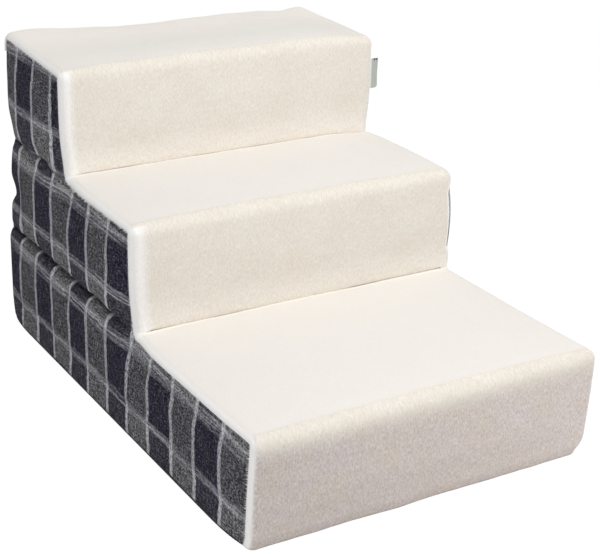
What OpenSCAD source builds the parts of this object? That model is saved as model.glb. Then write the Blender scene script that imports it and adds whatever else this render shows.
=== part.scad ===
// Soft pet stairs with three steps: foam slabs glued in a stack, in a sewn cover that has a
// plush runner over the treads and risers, plaid sides and back, a base cloth with grip dots,
// and a zip across the back with a sliding slider and a hinged pull tab.
// Origin: middle of the footprint, on the floor. -Y is the front, +Y the back, +Z is up.

/* [Stairs] */
// Width from side seam to side seam
stairs_w = 392; // [340:4:500]
// Depth of the bottom tread, to the foot of the next riser
bottom_tread = 247; // [200:1:320]
// Depth of the middle tread, to the foot of the next riser
middle_tread = 167; // [140:1:240]
// Depth of the top tread with the lean of the back
top_tread = 182; // [140:1:240]
// Height of the bottom step
bottom_rise = 115; // [100:1:150]
// Height of the middle step above the bottom one
middle_rise = 115; // [90:1:150]
// Height of the top step above the middle one, at its front edge
top_rise = 115; // [90:1:150]
// How much higher the top step is at its back edge
top_lift = 7; // [0:1:12]
// How much further in the middle step's back stands than the bottom one's
back_step = 8; // [0:1:10]
// How far the back leans in over the height of the middle step
back_lean = 10; // [0:1:16]

/* [Foam slabs] */
// Radius of the slabs' edges
foam_r = 12; // [9:0.5:16]
// Clearance from the slabs' sides and back to the cover
foam_clear = 0.6; // [0.5:0.1:0.9]

/* [Plush runner] */
// Thickness of the runner at the edges of each face
plush_t = 3.5; // [2.5:0.5:6]
// Padding added in the middle of each face
plush_crown = 2; // [0.5:0.5:4]
// Radius of each tread's front edge
nosing_r = 14; // [12:1:20]
// Radius at the foot of each riser
foot_r = 4; // [2:0.5:8]
// Width of the rounded band along each side seam
edge_band = 16; // [10:1:25]
// How far the runner turns in at the floor
toe_in = 3; // [1:0.5:5]
// Height over which it turns in there
toe_h = 14; // [10:1:20]
// How far it comes down the back to its hem
back_drop = 24; // [22:1:40]
// How far it turns in at that hem
hem_in = 1; // [0:0.25:1.5]

/* [Plaid panels] */
// Thickness of the quilted plaid cloth
panel_t = 2; // [1:0.25:3]
// How far each slab's side swells out past the seams
side_bulge = 4; // [1:0.5:8]
// How far each slab's back swells out past the seams
back_bulge = 5; // [4.5:0.5:9]
// Depth of the crease where two slabs meet
crease_depth = 6; // [2:0.5:7]
// Distance over which a side crease fades out towards its riser
crease_fade = 60; // [30:5:100]
// Gap at the seams between two pieces of cloth
seam_gap = 0.3; // [0.2:0.05:0.4]

/* [Base cloth] */
// Thickness of the base cloth
base_t = 2; // [1:0.25:3]
// Corner radius of the base cloth
base_corner_r = 8; // [4:1:12]
// Radius of a grip dot
dot_r = 2; // [1:0.25:3]
// Height of a grip dot
dot_h = 0.6; // [0.4:0.1:1]
// Distance between grip dots
dot_pitch = 30; // [25:1:50]
// Bare margin between the outer dots and the edge
dot_margin = 14; // [8:1:25]

/* [Zip] */
// Height of the zip's centre line above the floor
zip_h = 40; // [34:1:60]
// Distance from each side seam to the nearer end of the row of teeth
zip_margin = 35; // [30:1:70]
// Distance from one tooth to the next on the same tape
tooth_pitch = 3; // [2.5:0.25:4]
// Width of the closed teeth, across both tapes
chain_w = 6; // [5:0.25:7]
// Thickness of the teeth
chain_t = 2.6; // [2:0.1:3]
// Width of one tape
tape_w = 12; // [11:0.5:16]
// Thickness of the tape
tape_t = 1; // [0.6:0.1:1.2]
// Height of the slot in the back cloth that the zip shows in
zip_slot_w = 16; // [14:0.5:18]
// Length of an end stop along the zip
stop_l = 3; // [2:0.25:4]
// Width of an end stop, across both tapes
stop_w = 9; // [8:0.25:10]

/* [Slider and pull] */
// Length of the slider
slider_l = 12; // [10:0.5:14]
// Width of the slider at its shoulders
slider_w = 11; // [10.5:0.25:12]
// Thickness of each of its two plates
plate_t = 1.2; // [0.8:0.1:1.4]
// Running clearance between the slider and what it slides on
run_clear = 0.3; // [0.2:0.05:0.4]
// Width of the loop that holds the pull
bail_w = 2.4; // [1.6:0.1:3]
// Thickness of that loop
bail_t = 1; // [0.8:0.1:1.2]
// Radius of the pull's pin
pin_r = 0.6; // [0.4:0.05:0.65]
// Thickness of the pull
pull_t = 1.5; // [1.4:0.1:2]
// Length of the pull from its pin
pull_l = 26; // [18:1:34]
// Width of the pull at its grip
pull_w = 8; // [7:0.5:10]
// Radius of the hole in the grip
pull_hole_r = 1.5; // [1:0.25:2]

/* [Label] */
// Height of the folded label in the seam
label_h = 35; // [20:1:50]
// How far it stands out of the seam
label_out = 9; // [6:0.5:10]
// Thickness of its ribbon
ribbon_t = 0.6; // [0.4:0.1:0.8]
// Distance from the top tread down to the label
label_drop = 36; // [20:1:44]

/* [Hidden] */
$fn = 48;

// Overrun of the cuts, and the colours
cut = 1;
plush_colour = [0.94, 0.92, 0.88];
plaid_colour = [0.28, 0.28, 0.33];
foam_colour = [0.93, 0.9, 0.78];
black_colour = [0.1, 0.1, 0.11];
metal_colour = [0.55, 0.56, 0.58];
label_colour = [0.55, 0.55, 0.56];

// Levels and faces of the stairs, at the plush's outermost
half_w = stairs_w / 2;
depth = bottom_tread + middle_tread + top_tread;
front_y = -depth / 2;
riser_2_y = front_y + bottom_tread;
riser_3_y = riser_2_y + middle_tread;
back_y = depth / 2;
tread_1_z = bottom_rise;
tread_2_z = tread_1_z + middle_rise;
tread_3_z = tread_2_z + top_rise;
top_back_z = tread_3_z + top_lift;
top_back_y = back_y - back_step - back_lean;

// The cover's seams lie at the runner's inner face
base_top = dot_h + base_t;
cloth_z = base_top + seam_gap;
runner_t = plush_t + plush_crown;
seam_in = runner_t + seam_gap;
crease_1_z = tread_1_z - seam_in;
crease_2_z = tread_2_z - seam_in;
top_seam_z = tread_3_z - seam_in;
hem_z = top_back_z - back_drop;

// The zip lies in a flat strip of the back cloth
chain_l = stairs_w - 2 * zip_margin;
cloth_y = back_y - back_bulge;
tape_y = cloth_y - panel_t;
chain_y = tape_y - tape_t / 2;
foam_back_in = back_bulge + panel_t + tape_t + foam_clear;
slot_low_z = zip_h - zip_slot_w / 2;
slot_high_z = zip_h + zip_slot_w / 2;
slot_end_x = chain_l / 2 + stop_l + slider_l;
tape_end_x = slot_end_x + tape_w / 2;

// How the swelling of a face falls off towards its edges: higher is boxier
runner_power = 3;
bulge_power = 4;
long_bulge_power = 8;

function unit(v) = v / norm(v);
function left_of(v) = [-v[1], v[0]];
function turned(v, a) = [v[0] * cos(a) - v[1] * sin(a), v[0] * sin(a) + v[1] * cos(a)];
function mix(a, b, share) = a + (b - a) * share;
function clamp01(v) = min(1, max(0, v));
function swell(share, power) = 1 - pow(abs(2 * clamp01(share) - 1), power);
function back_at(z) =
    back_y - back_step * clamp01((z - crease_1_z) / foam_r)
        - back_lean * clamp01((z - crease_1_z) / (crease_2_z - crease_1_z));
function lift_at(y) = top_lift * clamp01((y - riser_3_y) / (top_back_y - riser_3_y));

// A convex outline with true round corners: its tangent points, and a circle in each corner
function inset_corner(a, p, b, r) =
    let (u = unit(a - p), v = unit(b - p), bis = unit(u + v))
    p + bis * r / sin(acos(u * v) / 2);
function tangent_point(centre, a, p) =
    let (u = unit(a - p)) p + u * ((centre - p) * u);

module rounded_outline(points, r) {
    n = len(points);
    centres = [for (i = [0:n - 1])
        inset_corner(points[(i + n - 1) % n], points[i], points[(i + 1) % n], r)];
    polygon([for (i = [0:n - 1]) each [
        tangent_point(centres[i], points[(i + n - 1) % n], points[i]),
        tangent_point(centres[i], points[(i + 1) % n], points[i])
    ]]);
    for (c = centres) translate(c) circle(r);
}

function box_outline(x0, y0, x1, y1) = [[x0, y0], [x1, y0], [x1, y1], [x0, y1]];

// The plane of a side outline: drawn in Y and Z, extruded along X
module along_x(width) {
    rotate([90, 0, 90]) translate([0, 0, -width / 2]) linear_extrude(width) children();
}
// Drawn in X and Z, extruded from y0 towards the back
module along_y(y0, length) {
    translate([0, y0 + length, 0]) rotate([90, 0, 0]) linear_extrude(length) children();
}

// A foam slab: its side outline, rounded in all three directions
module foam_slab(side_points) {
    ys = [for (p = side_points) p[0]];
    zs = [for (p = side_points) p[1]];
    slab_w = stairs_w - 2 * (panel_t + foam_clear);
    color(foam_colour) intersection() {
        along_x(slab_w) rounded_outline(side_points, foam_r);
        translate([0, 0, min(zs) - cut]) linear_extrude(max(zs) - min(zs) + 2 * cut)
            rounded_outline(box_outline(-slab_w / 2, min(ys), slab_w / 2, max(ys)), foam_r);
        along_y(min(ys) - cut, max(ys) - min(ys) + 2 * cut)
            rounded_outline(box_outline(-slab_w / 2, min(zs), slab_w / 2, max(zs)), foam_r);
    }
}

// The slider's back plate runs in a groove pressed into the foam
groove_w = slider_w + 2 * run_clear;
groove_y = chain_y - chain_t / 2 - plate_t - 2 * run_clear;

module foam_bottom() {
    color(foam_colour) difference() {
        foam_slab([
            [front_y + toe_in + seam_in, cloth_z], [back_y - foam_back_in, cloth_z],
            [back_y - foam_back_in, crease_1_z], [front_y + seam_in, crease_1_z],
            [front_y + seam_in, cloth_z + toe_h]
        ]);
        translate([-slot_end_x, groove_y, zip_h - groove_w / 2])
            cube([2 * slot_end_x, cloth_y - groove_y, groove_w]);
    }
}

module foam_middle() {
    foam_slab([
        [riser_2_y + seam_in, crease_1_z], [back_y - back_step - foam_back_in, crease_1_z],
        [top_back_y - foam_back_in, crease_2_z], [riser_2_y + seam_in, crease_2_z]
    ]);
}

module foam_top() {
    foam_back_y = top_back_y - foam_back_in;
    foam_slab([
        [riser_3_y + seam_in, crease_2_z], [foam_back_y, crease_2_z],
        [foam_back_y, top_seam_z + lift_at(foam_back_y)], [riser_3_y + seam_in, top_seam_z]
    ]);
}

// The runner's way over the stairs, in Y and Z, with the radius of each bend
runner_route = [
    [front_y + toe_in, cloth_z], [front_y, cloth_z + toe_h], [front_y, tread_1_z],
    [riser_2_y, tread_1_z], [riser_2_y, tread_2_z], [riser_3_y, tread_2_z],
    [riser_3_y, tread_3_z], [top_back_y, top_back_z], [top_back_y - hem_in, hem_z]
];
bend_radii = [toe_h, nosing_r, foot_r, nosing_r, foot_r, nosing_r, nosing_r];
bend_steps = 4;
face_steps = [1, 6, 9, 6, 7, 6, 7, 2];

// A station on the route is its point, its outward normal and how much the face swells there
function bend(a, p, b, r) =
    let (
        d = unit(p - a), e = unit(b - p),
        turn = atan2(d[0] * e[1] - d[1] * e[0], d * e),
        side = sign(turn),
        start = p - d * r * tan(abs(turn) / 2),
        centre = start + left_of(d) * r * side
    )
    [for (i = [0:bend_steps])
        let (normal = turned(left_of(d), turn * i / bend_steps))
        [centre - normal * r * side, normal, 0]];
function face_run(from, to, steps) =
    [for (i = [1:1:steps - 1])
        [mix(from[0], to[0], i / steps), from[1], swell(i / steps, runner_power)]];
last_bend = len(bend_radii) - 1;
bends = [for (i = [0:last_bend])
    bend(runner_route[i], runner_route[i + 1], runner_route[i + 2], bend_radii[i])];
first_station = [runner_route[0], bends[0][0][1], 0];
last_station = [runner_route[last_bend + 2], bends[last_bend][bend_steps][1], 0];
stations = [
    first_station,
    for (i = [0:last_bend]) each concat(
        face_run(i == 0 ? first_station : bends[i - 1][bend_steps], bends[i][0], face_steps[i]),
        bends[i]
    ),
    each face_run(bends[last_bend][bend_steps], last_station, face_steps[last_bend + 1]),
    last_station
];

// Across the runner: a rounded band at each seam, and a crowned face between the bands
band_angles = [90, 65, 40, 18, 0];
face_shares = [-0.85, -0.6, -0.3, 0, 0.3, 0.6, 0.85];
band_x = half_w - edge_band;
across = [
    for (a = band_angles) [-band_x - edge_band * sin(a), 0, 1 - cos(a)],
    for (s = face_shares) [band_x * s, swell((1 + s) / 2, runner_power), 0],
    for (i = [len(band_angles) - 1:-1:0])
        [band_x + edge_band * sin(band_angles[i]), 0, 1 - cos(band_angles[i])]
];

// Its inner face is flat, so each ring closes from one seam straight to the other
module plush_runner() {
    n = len(across);
    rings = len(stations);
    points = [for (s = stations, c = across)
        let (face_in = plush_crown * (1 - s[2] * c[1]), in = mix(face_in, runner_t, c[2]))
        [c[0], s[0][0] - s[1][0] * in, s[0][1] - s[1][1] * in]];
    faces = [
        for (r = [0:rings - 2], j = [0:n - 1])
            let (a = r * n + j, b = r * n + (j + 1) % n) each [[a, b + n, b], [a, a + n, b + n]],
        for (j = [1:n - 2]) each [
            [0, j, j + 1],
            [(rings - 1) * n, (rings - 1) * n + j + 1, (rings - 1) * n + j]
        ]
    ];
    color(plush_colour) polyhedron(points, faces);
}

// A curved sheet of cloth: a grid of outer and inner points, with walls round the cells it has.
// The points come in columns of rows + 1 points, first the outer face's and then the inner's.
function has_cell(cells, i, j) =
    i >= 0 && j >= 0 && i < len(cells) && j < len(cells[0]) && cells[i][j];
function sheet_faces(cells) =
    let (
        rows = len(cells[0]),
        m = (len(cells) + 1) * (rows + 1)
    )
    [for (i = [0:len(cells) - 1], j = [0:rows - 1]) if (cells[i][j])
        let (a = i * (rows + 1) + j, b = a + rows + 1, c = b + 1, d = a + 1)
        each concat(
            [[a, c, b], [a, d, c], [m + a, m + b, m + c], [m + a, m + c, m + d]],
            has_cell(cells, i, j - 1) ? [] : [[a, b, m + b], [a, m + b, m + a]],
            has_cell(cells, i + 1, j) ? [] : [[b, c, m + c], [b, m + c, m + b]],
            has_cell(cells, i, j + 1) ? [] : [[c, d, m + d], [c, m + d, m + c]],
            has_cell(cells, i - 1, j) ? [] : [[d, a, m + a], [d, m + a, m + d]]
        )];

// A crease is a rounded V, deepest where two slabs meet. It draws in the back corners too.
function crease(distance) =
    let (share = clamp01(1 - abs(distance) / foam_r)) crease_depth * share * share;
function pinch(z) = crease(z - crease_1_z) + crease(z - crease_2_z);

// Rows up a slab: close together within an edge radius of its two creases, so that the side
// and back panels bend at the same heights, and evenly spread between
edge_shares = [0, 0.4, 1];
between_shares = [0.25, 0.5, 0.75];
rows = 2 * len(edge_shares) + len(between_shares) - 1;
function slab_of(j) = min(2, floor(j / rows));
function row_z(zs, j) =
    let (k = slab_of(j), i = j - k * rows, e = len(edge_shares), from = zs[k], to = zs[k + 1])
    i < e ? from + edge_shares[i] * foam_r
        : i > rows - e ? to - edge_shares[rows - i] * foam_r
        : mix(from + foam_r, to - foam_r, between_shares[i - e]);

// Side panel: columns from front to back over the three treads, rows up the three slabs
column_shares = [0, 0.04, 0.15, 0.35, 0.6, 0.85, 0.96, 1];
side_ys = [front_y + seam_in, riser_2_y + seam_in, riser_3_y + seam_in];
side_zs = [cloth_z, crease_1_z, crease_2_z, top_seam_z];
columns = len(column_shares) - 1;
function side_back(z) = back_at(z) - back_bulge - panel_t - seam_gap - pinch(z);
function side_front(z) =
    side_ys[0] + toe_in * clamp01(1 - (z - cloth_z) / toe_h);
function side_z(j, y) =
    let (z = row_z(side_zs, j), tilted_from = crease_2_z + foam_r)
    z + lift_at(y) * clamp01((z - tilted_from) / (top_seam_z - tilted_from));
function side_y(i, j) =
    let (
        k = min(2, floor(i / columns)),
        z = row_z(side_zs, j),
        from = k == 0 ? side_front(z) : side_ys[k],
        to = k == 2 ? side_back(z) : side_ys[k + 1]
    )
    mix(from, to, column_shares[i - k * columns]);

// Its convex corners are drawn in to stay inside the runner's bends
corner_bends = [for (i = [2, 4, 6, 7]) bends[i - 1]];
corner_r = nosing_r - seam_in;
function in_corner(p, bend_at) =
    let (
        from = bend_at[0],
        to = bend_at[bend_steps],
        off = p - (from[0] - from[1] * nosing_r)
    )
    off * from[1] > 0 && off * to[1] > 0 && norm(off) > corner_r
        ? p - off * (1 - corner_r / norm(off)) : p;
function in_corners(p, i = 0) =
    i == len(corner_bends) ? p : in_corners(in_corner(p, corner_bends[i]), i + 1);

function fade_in(y, from) = let (s = clamp01((y - from) / crease_fade)) s * s * (3 - 2 * s);
function side_swell(y, z, k) =
    side_bulge
        * swell((y - side_ys[k]) / (side_back(z) - side_ys[k]), long_bulge_power)
        * swell((z - side_zs[k]) / (side_zs[k + 1] - side_zs[k]), bulge_power)
    - crease(z - crease_1_z) * fade_in(y, side_ys[1])
    - crease(z - crease_2_z) * fade_in(y, side_ys[2]);

module side_panel(side) {
    grid = [for (i = [0:3 * columns], j = [0:3 * rows])
        let (y = side_y(i, j), z = side_z(j, y), p = in_corners([y, z]))
        [half_w + side_swell(p[0], p[1], slab_of(j)), p[0], p[1]]];
    cells = [for (i = [0:3 * columns - 1])
        [for (j = [0:3 * rows - 1]) floor(j / rows) <= floor(i / columns)]];
    inner = [for (p = grid) p - [panel_t, 0, 0]];
    color(plaid_colour) mirror([side < 0 ? 1 : 0, 0, 0])
        polyhedron(concat(grid, inner), sheet_faces(cells));
}

module side_panel_left() {
    side_panel(-1);
}

module side_panel_right() {
    side_panel(1);
}

// Back cloth above the zip: one swelling for each slab, with a crease between two slabs
back_shares = [0, 0.03, 0.1, 0.25, 0.4, 0.5, 0.6, 0.75, 0.9, 0.97, 1];
back_zs = [slot_high_z, crease_1_z, crease_2_z, hem_z - seam_gap];

module back_panel_upper() {
    last = len(back_shares) - 1;
    grid = [for (i = [last:-1:0], j = [0:3 * rows])
        let (
            k = slab_of(j),
            z = row_z(back_zs, j),
            swollen = swell(back_shares[i], long_bulge_power)
                * swell((z - back_zs[k]) / (back_zs[k + 1] - back_zs[k]), bulge_power)
        )
        [
            mix(-1, 1, back_shares[i]) * (half_w - pinch(z)),
            back_at(z) - back_bulge * (1 - swollen) - pinch(z),
            z
        ]];
    cells = [for (i = [0:last - 1]) [for (j = [0:3 * rows - 1]) true]];
    inner = [for (p = grid) p - [0, panel_t, 0]];
    color(plaid_colour) polyhedron(concat(grid, inner), sheet_faces(cells));
}

// Back cloth below the zip, with its two ends sewn up past the zip
module back_panel_lower() {
    end_z = slot_high_z - seam_gap;
    color(plaid_colour) along_y(tape_y, panel_t) polygon([
        [-half_w, cloth_z], [half_w, cloth_z], [half_w, end_z], [slot_end_x, end_z],
        [slot_end_x, slot_low_z], [-slot_end_x, slot_low_z], [-slot_end_x, end_z],
        [-half_w, end_z]
    ]);
}

// Base cloth, with grip dots printed on its underside
module base_panel() {
    dots_x = floor((half_w - dot_margin) / dot_pitch);
    dots_y = floor((depth / 2 - dot_margin) / dot_pitch);
    color(black_colour) {
        translate([0, 0, dot_h]) linear_extrude(base_t)
            rounded_outline(box_outline(-half_w, front_y + toe_in, half_w, cloth_y), base_corner_r);
        for (i = [-dots_x:dots_x], j = [-dots_y:dots_y])
            translate([i * dot_pitch, j * dot_pitch, 0]) cylinder(r = dot_r, h = dot_h);
    }
}

// One tape of the zip, from the edge of its teeth outwards
module zip_tape(side) {
    color(black_colour) translate([0, tape_y - tape_t, zip_h]) mirror([0, 0, side < 0 ? 1 : 0])
        translate([-tape_end_x, 0, chain_w / 2]) cube([2 * tape_end_x, tape_t, tape_w]);
}

module zip_tape_upper() {
    zip_tape(1);
}

module zip_tape_lower() {
    zip_tape(-1);
}

// A tooth's half outline, from its root on the bead, over its head, to its tip: the way across
// the centre line as shares of half the chain's width, and the half width as shares of the pitch
tooth_way_shares = [0.73, 0.17, 0, -0.17, -0.3, -0.42, -0.47];
tooth_half_shares = [0.175, 0.175, 0.215, 0.27, 0.28, 0.2, 0.12];

// One row of teeth on its bead. The two rows mesh half a pitch apart.
module zip_teeth(side) {
    count = floor(chain_l / tooth_pitch) - 1;
    first_x = -chain_l / 2 + tooth_pitch * (side > 0 ? 0.5 : 1);
    last_way = len(tooth_way_shares) - 1;
    outline = [
        [-chain_l / 2, chain_w / 2],
        [-chain_l / 2, tooth_way_shares[0] * chain_w / 2],
        for (t = [0:count - 1]) let (x = first_x + t * tooth_pitch) each [
            for (k = [0:last_way])
                [x - tooth_half_shares[k] * tooth_pitch, tooth_way_shares[k] * chain_w / 2],
            for (k = [last_way:-1:0])
                [x + tooth_half_shares[k] * tooth_pitch, tooth_way_shares[k] * chain_w / 2]
        ],
        [chain_l / 2, tooth_way_shares[0] * chain_w / 2],
        [chain_l / 2, chain_w / 2]
    ];
    color(black_colour) translate([0, 0, zip_h]) mirror([0, 0, side < 0 ? 1 : 0])
        along_y(chain_y - chain_t / 2, chain_t) polygon(outline);
}

module zip_teeth_upper() {
    zip_teeth(1);
}

module zip_teeth_lower() {
    zip_teeth(-1);
}

// An end stop clips round the tapes' edges. Above the zip it is one piece on each tape, which
// the slider's wedge comes between, and at the other end one piece holds both tapes.
slit_clear = seam_gap / 4;
module end_stop(x0, inner_half) {
    color(metal_colour) difference() {
        along_y(chain_y - chain_t / 2, chain_t) difference() {
            translate([x0, zip_h - stop_w / 2]) square([stop_l, stop_w]);
            if (inner_half > 0)
                translate([x0 - cut, zip_h - inner_half])
                    square([stop_l + 2 * cut, 2 * inner_half]);
        }
        for (side = [-1, 1])
            translate([x0 - cut, tape_y - tape_t - slit_clear, zip_h])
                mirror([0, 0, side < 0 ? 1 : 0]) translate([0, 0, chain_w / 2 - slit_clear])
                    cube([stop_l + 2 * cut, tape_t + 2 * slit_clear, stop_w]);
    }
}

// The slider is closed at rest: its wedge stands just past the last tooth
wedge_from_share = 0.12;
rest_x = chain_l / 2 + run_clear - wedge_from_share * slider_l;
top_stop_x = rest_x + slider_l / 2 + run_clear;
bottom_stop_x = -chain_l / 2 - stop_l - seam_gap;
slider_travel = rest_x - slider_l / 2 - (bottom_stop_x + stop_l + run_clear);
top_stop_inner_share = 0.2;

module zip_top_stops() {
    end_stop(top_stop_x, top_stop_inner_share * chain_w);
}

module zip_bottom_stop() {
    end_stop(bottom_stop_x, 0);
}

// Slider outlines in X and Z round its own middle: the plates are widest at the shoulders, and
// the wedge between them parts the teeth. Each point is a share of the length and of half the
// width, and the outline is mirrored about the centre line.
plate_shares = [[-0.5, 0.76], [-0.42, 0.82], [0.08, 0.88], [0.22, 1], [0.36, 1], [0.5, 0.74]];
wedge_shares = [[0.12, 0.03], [0.3, 0.24], [0.42, 0.26], [0.5, 0.18]];
channel_shares = [[-0.6, 1], [0.08, 1], [0.22, 1.17], [0.6, 1.17]];

function both_sides(shares, length, half) = concat(
    [for (s = shares) [s[0] * length, s[1] * half]],
    [for (i = [len(shares) - 1:-1:0]) [shares[i][0] * length, -shares[i][1] * half]]
);

plate_in = chain_t / 2 + run_clear;
plate_out = plate_in + plate_t;
lip_in = tape_t / 2 + run_clear;
pin_up = run_clear + pull_t / 2;
pin_y = chain_y + plate_out + pin_up;
bail_gap = pin_up + pin_r + run_clear;
bail_half_share = 0.35;
bail_leg_share = 0.25;

module slider_layer(y0, y1) {
    translate([rest_x, 0, zip_h]) along_y(chain_y + y0, y1 - y0) children();
}

module zip_slider() {
    channel_half = chain_w / 2 + run_clear;
    bail_l = 2 * bail_half_share * slider_l;
    leg_l = bail_leg_share * bail_l / 2;
    color(metal_colour) {
        for (side = [-1, 1]) {
            slider_layer(side > 0 ? plate_in : -plate_out, side > 0 ? plate_out : -plate_in)
                polygon(both_sides(plate_shares, slider_l, slider_w / 2));
            slider_layer(side > 0 ? lip_in : -plate_in, side > 0 ? plate_in : -lip_in)
                difference() {
                    polygon(both_sides(plate_shares, slider_l, slider_w / 2));
                    polygon(both_sides(channel_shares, slider_l, channel_half));
                }
        }
        slider_layer(-plate_in, plate_in) polygon(both_sides(wedge_shares, slider_l, slider_w / 2));
        translate([rest_x, chain_y + plate_out, zip_h - bail_w / 2]) linear_extrude(bail_w)
            difference() {
                translate([-bail_l / 2, 0]) square([bail_l, bail_gap + bail_t]);
                translate([leg_l - bail_l / 2, -cut]) square([bail_l - 2 * leg_l, bail_gap + cut]);
            }
    }
}

// The pull lies back over the closed teeth, with a pin through the slider's loop and an arm on
// each side of it
arm_in = bail_w / 2 + run_clear;
window_l = norm([bail_half_share * slider_l, bail_gap + bail_t - pin_up]) + run_clear;
arm_out_share = 0.72;
grip_from_share = 0.45;

module zip_pull() {
    arm_out = arm_out_share * pull_w / 2;
    grip_x = grip_from_share * pull_l;
    end_r = pull_w / 2;
    color(metal_colour) translate([rest_x, pin_y, zip_h]) {
        translate([0, 0, -arm_out]) cylinder(r = pin_r, h = 2 * arm_out);
        along_y(-pull_t / 2, pull_t) difference() {
            union() {
                polygon([
                    [0, -arm_out], [0, arm_out], [-grip_x, arm_out], [-pull_l + end_r, end_r],
                    [-pull_l + end_r, -end_r], [-grip_x, -arm_out]
                ]);
                translate([-pull_l + end_r, 0]) circle(end_r);
            }
            translate([-window_l, -arm_in]) square([window_l + cut, 2 * arm_in]);
            translate([-pull_l + end_r, 0]) circle(pull_hole_r);
        }
    }
}

// A bare label: a ribbon folded in two, its ends in the right seam of the top riser
module label_tag() {
    fold_r = ribbon_t + seam_gap / 2;
    label_x = half_w + 2 * seam_gap;
    fold_x = half_w + label_out - fold_r;
    color(label_colour)
        translate([0, riser_3_y + seam_in, tread_3_z - label_drop - label_h])
            linear_extrude(label_h) difference() {
                union() {
                    translate([label_x, -fold_r]) square([fold_x - label_x, 2 * fold_r]);
                    translate([fold_x, 0]) circle(fold_r);
                }
                translate([label_x - cut, ribbon_t - fold_r])
                    square([fold_x - label_x + cut, 2 * (fold_r - ribbon_t)]);
                translate([fold_x, 0]) circle(fold_r - ribbon_t);
            }
}

echo(str("slider travel ", slider_travel, ", slider at x ", rest_x, ", pin at y ", pin_y));

foam_bottom();
foam_middle();
foam_top();
plush_runner();
side_panel_left();
side_panel_right();
back_panel_upper();
back_panel_lower();
base_panel();
zip_tape_upper();
zip_tape_lower();
zip_teeth_upper();
zip_teeth_lower();
zip_top_stops();
zip_bottom_stop();
zip_slider();
zip_pull();
label_tag();
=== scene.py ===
"""Soft pet stairs: a plush runner over three padded steps, a plaid cover, and a zip across the back."""

import math

import bmesh
import bpy
import numpy as np
from mathutils import Matrix, Vector, noise


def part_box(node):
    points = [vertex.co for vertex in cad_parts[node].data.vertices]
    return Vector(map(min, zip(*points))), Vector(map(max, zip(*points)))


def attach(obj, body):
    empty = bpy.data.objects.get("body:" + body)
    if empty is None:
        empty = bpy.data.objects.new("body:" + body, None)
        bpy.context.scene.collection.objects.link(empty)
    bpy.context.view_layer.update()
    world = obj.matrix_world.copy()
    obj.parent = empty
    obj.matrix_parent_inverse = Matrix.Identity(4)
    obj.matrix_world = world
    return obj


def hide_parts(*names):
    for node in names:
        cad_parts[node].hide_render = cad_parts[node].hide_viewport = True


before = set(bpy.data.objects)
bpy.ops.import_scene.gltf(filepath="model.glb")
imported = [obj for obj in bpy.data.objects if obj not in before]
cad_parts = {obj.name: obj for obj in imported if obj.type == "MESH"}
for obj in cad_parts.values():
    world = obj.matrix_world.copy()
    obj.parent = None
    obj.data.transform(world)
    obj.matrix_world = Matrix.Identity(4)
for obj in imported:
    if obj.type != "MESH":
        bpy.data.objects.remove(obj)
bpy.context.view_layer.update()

MM = 0.001

# Places taken from the frame
RUNNER_LOW, RUNNER_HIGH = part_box("plush_runner")
HALF_W = RUNNER_HIGH.x
FRONT_Y = RUNNER_LOW.y
BACK_Y = -FRONT_Y
CLOTH_Z = RUNNER_LOW.z
SEAM_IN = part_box("foam_bottom")[0].y - FRONT_Y
MIDDLE_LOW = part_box("foam_middle")[0]
TOP_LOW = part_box("foam_top")[0]
CREASE_1_Z = MIDDLE_LOW.z
CREASE_2_Z = TOP_LOW.z
RISE = CREASE_2_Z - CREASE_1_Z
TOP_BACK_Y = RUNNER_HIGH.y
HEM_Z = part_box("back_panel_upper")[1].z
PULL_LOW, PULL_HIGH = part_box("zip_pull")
ZIP_Z = (PULL_LOW.z + PULL_HIGH.z) / 2
TAPE_LOW, TAPE_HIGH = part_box("zip_tape_upper")

# How far the shown faces of the runner stand from the frame's, measured at its borders
FACE_YS = [FRONT_Y + 3 * MM, MIDDLE_LOW.y - SEAM_IN + 0.7 * MM, TOP_LOW.y - SEAM_IN + 1.3 * MM]
FACE_ZS = [
    CREASE_1_Z + SEAM_IN - 1.5 * MM,
    CREASE_2_Z + SEAM_IN - 3.2 * MM,
    CREASE_2_Z + RISE + SEAM_IN - 4.8 * MM,
]
TOP_LIFT = 7 * MM

# The soft edges: a round profile runs along both sides, and the seam lies on it at an angle
# from the face, flatter on the treads than on the risers
EDGE_R_LEFT = 6 * MM
EDGE_R_RIGHT = 11 * MM
SIDE_X = HALF_W - 5.5 * MM
LOW_Z = CLOTH_Z - 1.4 * MM
TREAD_SEAM = math.radians(66)
RISER_SEAM = math.radians(78)
BACK_SEAM = math.radians(60)
BACK_EDGE_R = 6 * MM
BACK_IN = BACK_EDGE_R * (1 - math.cos(BACK_SEAM))
SEAM_SINK = 0.6 * MM
PANEL_T = 2 * MM
RUNNER_T = 3 * MM

# The folds in the plaid, where two slabs meet
LOWER_FOLD_Z = CREASE_1_Z + 6 * MM
UPPER_FOLD_Z = CREASE_2_Z + 3 * MM


def clamp01(value, length=1.0):
    """A straight rise from 0 to 1 over a length, held beyond it."""
    return np.clip(value / length, 0.0, 1.0)


def smooth(value, length=1.0):
    """A smooth rise from 0 to 1 over a length, held beyond it."""
    t = clamp01(value, length)
    return t * t * (3 - 2 * t)


def rounded(share):
    """How far a unit circle has dropped below its top, this far out from its middle."""
    return 1 - np.sqrt(1 - share * share)


def rise_from(distance, start):
    """Rises from 0 to 1 over the start distance, quickly at first."""
    return 1 - (1 - clamp01(distance, start)) ** 2.5


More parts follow.
